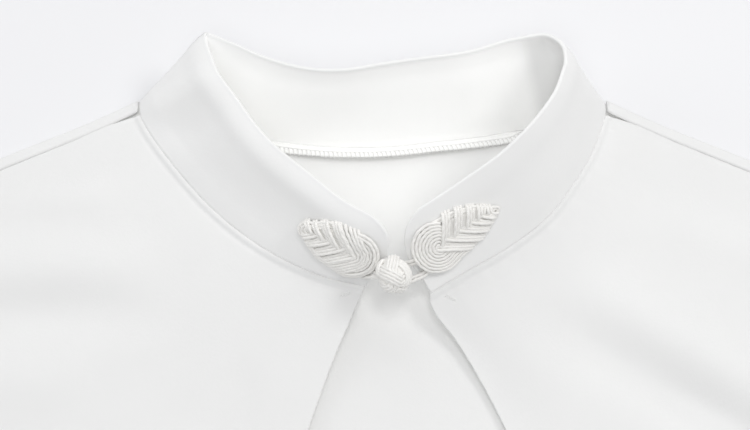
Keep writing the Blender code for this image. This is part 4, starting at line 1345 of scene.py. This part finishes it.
def stitch_row(line):
    """Short threads along a line that is already at the height of the cloth's top."""
    route = Route(line)
    grids = []
    for k in range(int(route.length / STITCH_PITCH)):
        start = (k * STITCH_PITCH + STITCH_START) / route.length
        shares = start + np.linspace(0.0, STITCH / route.length, 4)
        thread = route.at(shares)
        thread[:, 2] += STITCH_DIP * np.array((-1.0, 1.0, 1.0, -1.0))
        grids.append(cord_grid(thread, radius=THREAD_RADIUS, ply=0.0, step=THREAD_STEP))
    return grids


hem_row = np.linspace(-HEM_ROW_END, HEM_ROW_END, 160)
hem_places = np.column_stack((hem_row, np.interp(hem_row, *hem_line.T) + HEM_TURN))
rings_up = round(HEM_TURN / SLEEVE_MIDDLE * SLEEVE_RINGS)
cuff_row = sleeve_points[-1 - rings_up][2:ARMHOLE_SPANS * FINE - 1] + (0.0, 0.0, CLOTH / 2)
stitch_grids = [tack(*row) for row in TACKS] + stitch_row(on_front(hem_places))
stitch_grids += stitch_row(cuff_row) + stitch_row(cuff_row * (-1, 1, 1))
stitching = mesh_from_grids("stitching_thread", stitch_grids)

# %% [markdown]
# ## Shader expressions
#
# Shader maths is easier to read as an expression than as a chain of nodes. The class below wraps a
# socket, so that a sum or a product of two wrapped sockets adds the Math node that computes it. A
# Mix node has inputs of the same name for numbers, vectors and colours, so the ones for colours are
# named here by their order.

# %% shader helpers
FIRST_COLOUR, SECOND_COLOUR, MIXED_COLOUR = 6, 7, 2


class Value:
    """A socket in a material, with arithmetic that adds Math nodes."""

    def __init__(self, paint, socket):
        self.paint = paint
        self.socket = socket

    def _math(self, operation, first, second):
        return self.paint.node("ShaderNodeMath", {"operation": operation}, {0: first, 1: second})

    def __add__(self, other):
        return self._math("ADD", self, other)

    def __radd__(self, other):
        return self._math("ADD", other, self)

    def __mul__(self, other):
        return self._math("MULTIPLY", self, other)

    def __rmul__(self, other):
        return self._math("MULTIPLY", other, self)

    def sine(self):
        return self.paint.node("ShaderNodeMath", {"operation": "SINE"}, {0: self})


class Paint:
    """One material and the nodes in it."""

    def __init__(self, name):
        self.material = bpy.data.materials.new(name)
        self.material.use_nodes = True
        self.tree = self.material.node_tree
        self.shader = self.tree.nodes["Principled BSDF"]

    def node(self, kind, settings=None, sockets=None, output=0):
        """Adds a node: its settings first, then the values or links of its sockets."""
        made = self.tree.nodes.new(kind)
        for key, value in (settings or {}).items():
            setattr(made, key, value)
        for key, value in (sockets or {}).items():
            self.put(made.inputs[key], value)
        return Value(self, made.outputs[output])

    def split(self, vector):
        """The x and the y of a vector."""
        across = self.node("ShaderNodeSeparateXYZ", {}, {"Vector": vector})
        return across, Value(self, across.socket.node.outputs["Y"])

    def noise(self, place, scale, detail, roughness=0.5):
        """Noise from 0 to 1 over the places of an object."""
        return self.node("ShaderNodeTexNoise", {}, {"Vector": place, "Scale": scale, "Detail": detail,
                                                    "Roughness": roughness})

    def mix(self, factor, first, second, blend="MIX"):
        """From the first colour to the second by a factor, or the second laid over the first."""
        return self.node("ShaderNodeMix", {"data_type": "RGBA", "blend_type": blend},
                         {"Factor": factor, FIRST_COLOUR: first, SECOND_COLOUR: second}, MIXED_COLOUR)

    def put(self, socket, value):
        """Links a value to a socket, or sets a plain one there."""
        if isinstance(value, Value):
            self.tree.links.new(value.socket, socket)
        else:
            socket.default_value = value

    def set(self, **sockets):
        """Gives the shader its values, with its sockets' names written with underscores."""
        for key, value in sockets.items():
            self.put(self.shader.inputs[key.replace("_", " ")], value)

    def give(self, *things):
        """Makes this the one material of some pieces."""
        for thing in things:
            thing.data.materials.clear()
            thing.data.materials.append(self.material)
        print(self.material.name, "on", *(thing.name for thing in things))


# %% [markdown]
# ## The cloth
#
# The top is a white cloth of fine yarn with a matt, slightly crêped face. Up close it is a plain
# weave, so two waves, one along the warp and one along the weft, make its bump, with the
# unevenness of the yarn on top. From where the camera is, the weave melts into a soft tooth. The
# wrong side, which shows inside the neck, is smoother than the face and painted whiter, partly its
# own colour and partly painted light that comes through the thin cloth. A faint even glow on that
# side is painted light too. The collar has three layers, which makes it a little whiter than the
# single layer of the body.

# %% the cloth's material
THREADS_PER_METRE = 2200.0
WEAVE_DEPTH = 0.00018
WEAVE_SHARE, SLUB_SHARE, SOFT_SHARE = 0.25, 0.9, 0.5
SLUB_SCALE, SOFT_SCALE = 900.0, 26.0
LEAST_TONE, TONE_RANGE = 0.97, 0.05
LEAST_ROUGHNESS, ROUGHNESS_RANGE = 0.82, 0.1
PAINTED_LIGHT_THROUGH = 0.14
BLACK = (0.0, 0.0, 0.0, 1.0)


def cloth_material(name, outside, inside, tooth):
    """Plain weave: the colours of its two sides, and how strong its tooth is."""
    paint = Paint(name)
    weft_way, warp_way = paint.split(paint.node("ShaderNodeUVMap", {"uv_map": "cloth"}))
    turn = 2 * math.pi * THREADS_PER_METRE
    weave = (weft_way * turn).sine() * (warp_way * turn).sine()
    place = paint.node("ShaderNodeTexCoord", output="Object")
    slub = paint.noise(place, SLUB_SCALE, detail=3.0, roughness=0.6)
    soft = paint.noise(place, SOFT_SCALE, detail=2.0)
    height = WEAVE_SHARE * weave + SLUB_SHARE * slub + SOFT_SHARE * soft
    bump = paint.node("ShaderNodeBump", {}, {"Height": height, "Strength": tooth, "Distance": WEAVE_DEPTH})
    # painted light: the share of the wrong side makes the colour whiter and adds a faint glow of that
    # colour
    reverse = paint.node("ShaderNodeAttribute", {"attribute_name": "inside"}, output="Fac")
    colour = paint.mix(reverse, (*outside, 1.0), (*inside, 1.0))
    colour = paint.mix(1.0, colour, LEAST_TONE + TONE_RANGE * soft, "MULTIPLY")
    glow = paint.mix(reverse, BLACK, (*inside, 1.0))
    paint.set(Base_Color=colour, Roughness=LEAST_ROUGHNESS + ROUGHNESS_RANGE * slub, Normal=bump,
              Sheen_Weight=0.12, Sheen_Roughness=0.5,
              Emission_Color=glow, Emission_Strength=PAINTED_LIGHT_THROUGH)
    return paint


body_paint = cloth_material("white cloth", (0.814, 0.814, 0.807), (0.965, 0.965, 0.95), 0.35)
body_paint.give(front, back, *sleeves.values())
collar_paint = cloth_material("white collar cloth", (0.885, 0.885, 0.877), (0.965, 0.965, 0.955), 0.3)
collar_paint.give(collar)
# the allowance glows faintly on one side: painted light
allowance_paint = cloth_material("seam allowance", (0.90, 0.90, 0.885), (0.90, 0.90, 0.885), 0.5)
allowance_paint.give(allowance)

# %% [markdown]
# ## The cord
#
# Satin cord shines along its fibres, which spiral round each ply. Their lay, one turn in each
# 0.6 mm, is a fine slanted wave on the UV map, and a fuzz of loose fibre breaks it up.

# %% the cord's material
LAY_WAVES = 2 * math.pi / 0.0006
LAY_SLANT = 4800.0
FIBRE_DEPTH = 0.00012
FIBRE_SHARE, FUZZ_SHARE = 0.6, 0.8
FUZZ_SCALE = 1600.0
CORD_TONE, CORD_TONE_RANGE = 0.96, 0.05
CORD_ROUGHNESS_RANGE = 0.12


def cord_material(name, colour, roughness):
    """Twisted fibre: its colour, and how rough it is where no loose fibre lies."""
    paint = Paint(name)
    across, along = paint.split(paint.node("ShaderNodeUVMap", {"uv_map": "cloth"}))
    fibre = (along * LAY_WAVES + across * LAY_SLANT).sine()
    place = paint.node("ShaderNodeTexCoord", output="Object")
    fuzz = paint.noise(place, FUZZ_SCALE, detail=2.0)
    height = FIBRE_SHARE * fibre + FUZZ_SHARE * fuzz
    bump = paint.node("ShaderNodeBump", {}, {"Height": height, "Strength": 0.5, "Distance": FIBRE_DEPTH})
    colour = paint.mix(1.0, (*colour, 1.0), CORD_TONE + CORD_TONE_RANGE * fuzz, "MULTIPLY")
    paint.set(Base_Color=colour, Roughness=roughness + CORD_ROUGHNESS_RANGE * fuzz,
              Sheen_Weight=0.1, Normal=bump)
    return paint


cord_paint = cord_material("satin cord", (0.915, 0.903, 0.875), 0.34)
cord_paint.give(*frog.values())
thread_paint = cord_material("sewing thread", (0.86, 0.86, 0.85), 0.5)
thread_paint.give(overlock, stitching)

# %% [markdown]
# ## The floor and the light
#
# The garment lies on a pale sheet in a bright surround, so that white on white stays readable. A
# small lamp overhead draws the knot's shadow and the thin lines at the seams. Soft lamps from the
# right and from behind shape the creases, and two weaker ones keep the shaded sides open.

# %% the floor and the light
FLOOR_DROP = 0.0004
FLOOR_SIZE = 3.0
FLOOR_COLOUR = (0.835, 0.835, 0.846, 1.0)
FLOOR_ROUGHNESS, FLOOR_GRAIN = 0.9, 0.05
GRAIN_SCALE = 3.0
WORLD_COLOUR = (0.98, 0.985, 1.0, 1.0)
WORLD_STRENGTH = 0.51
LIT_PLACE = (0.0, -50.0, 10.0)

floor = bpy.data.objects.new("floor", bpy.data.meshes.new("floor"))
bm = bmesh.new()
bmesh.ops.create_grid(bm, x_segments=2, y_segments=2, size=FLOOR_SIZE)
bmesh.ops.translate(bm, verts=bm.verts, vec=(0.0, 0.0, -FLOOR_DROP))
bm.to_mesh(floor.data)
bm.free()
bpy.context.scene.collection.objects.link(floor)
floor_paint = Paint("pale sheet")
grain = floor_paint.node("ShaderNodeTexNoise", {}, {"Scale": GRAIN_SCALE})
floor_paint.set(Base_Color=FLOOR_COLOUR, Roughness=FLOOR_ROUGHNESS + FLOOR_GRAIN * grain)
floor_paint.give(floor)

LIGHTS = (
    # name, direction from the place that is lit, distance in metres, size in metres, watts, colour
    ("overhead", (0.10, 0.05, 1.0), 1.3, 0.3, 2.5, (1.0, 1.0, 1.0)),
    ("beside the camera", (-0.05, -0.37, 0.93), 1.4, 0.7, 2.7, (1.0, 1.0, 1.0)),
    ("right", (0.80, 0.25, 0.85), 1.4, 0.45, 4.2, (1.0, 0.995, 0.985)),
    ("left", (-0.90, 0.20, 0.55), 1.4, 0.9, 2.7, (0.99, 0.995, 1.0)),
    ("behind", (0.0, 0.80, 0.65), 1.4, 0.9, 3.0, (0.99, 0.995, 1.0)),
)

lit_place = Vector(to_metres(LIT_PLACE))
for name, direction, distance, size, power, colour in LIGHTS:
    direction = Vector(direction).normalized()
    lamp = bpy.data.objects.new(name, bpy.data.lights.new(name, "AREA"))
    lamp.data.shape = "DISK"
    lamp.data.size = size
    lamp.data.energy = power
    lamp.data.color = colour
    lamp.location = lit_place + distance * direction
    lamp.rotation_euler = (-direction).to_track_quat("-Z", "Y").to_euler()
    bpy.context.scene.collection.objects.link(lamp)
world = bpy.data.worlds.new("studio")
world.use_nodes = True
surround = world.node_tree.nodes["Background"].inputs
surround["Color"].default_value = WORLD_COLOUR
surround["Strength"].default_value = WORLD_STRENGTH
bpy.context.scene.world = world
bpy.context.scene.view_settings.view_transform = "Standard"
print("lamps:", ", ".join(row[0] for row in LIGHTS))

# %% [markdown]
# ## Attaching the pieces
#
# Each piece rides on the one rigid body and stands for its solid, which is hidden.

# %% attaching the pieces
STANDS_FOR = (
    (front, "front", "cloth"),
    (back, "back", "cloth"),
    (collar, "collar", "cloth"),
    (sleeves["sleeve_left_cloth"], "sleeve_left", "cloth"),
    (sleeves["sleeve_right_cloth"], "sleeve_right", "cloth"),
    (allowance, "neck_seam_allowance", "cloth"),
    (frog["frog_leaf_left"], "frog_leaf_left", "cord"),
    (frog["frog_leaf_right"], "frog_leaf_right", "cord"),
    (frog["frog_knot"], "frog_knot", "cord"),
    (frog["frog_loop"], "frog_loop", "cord"),
)
for piece, node, slot in STANDS_FOR:
    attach(piece, "root")
    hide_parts(node)
for thread in (overlock, stitching):
    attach(thread, "root")
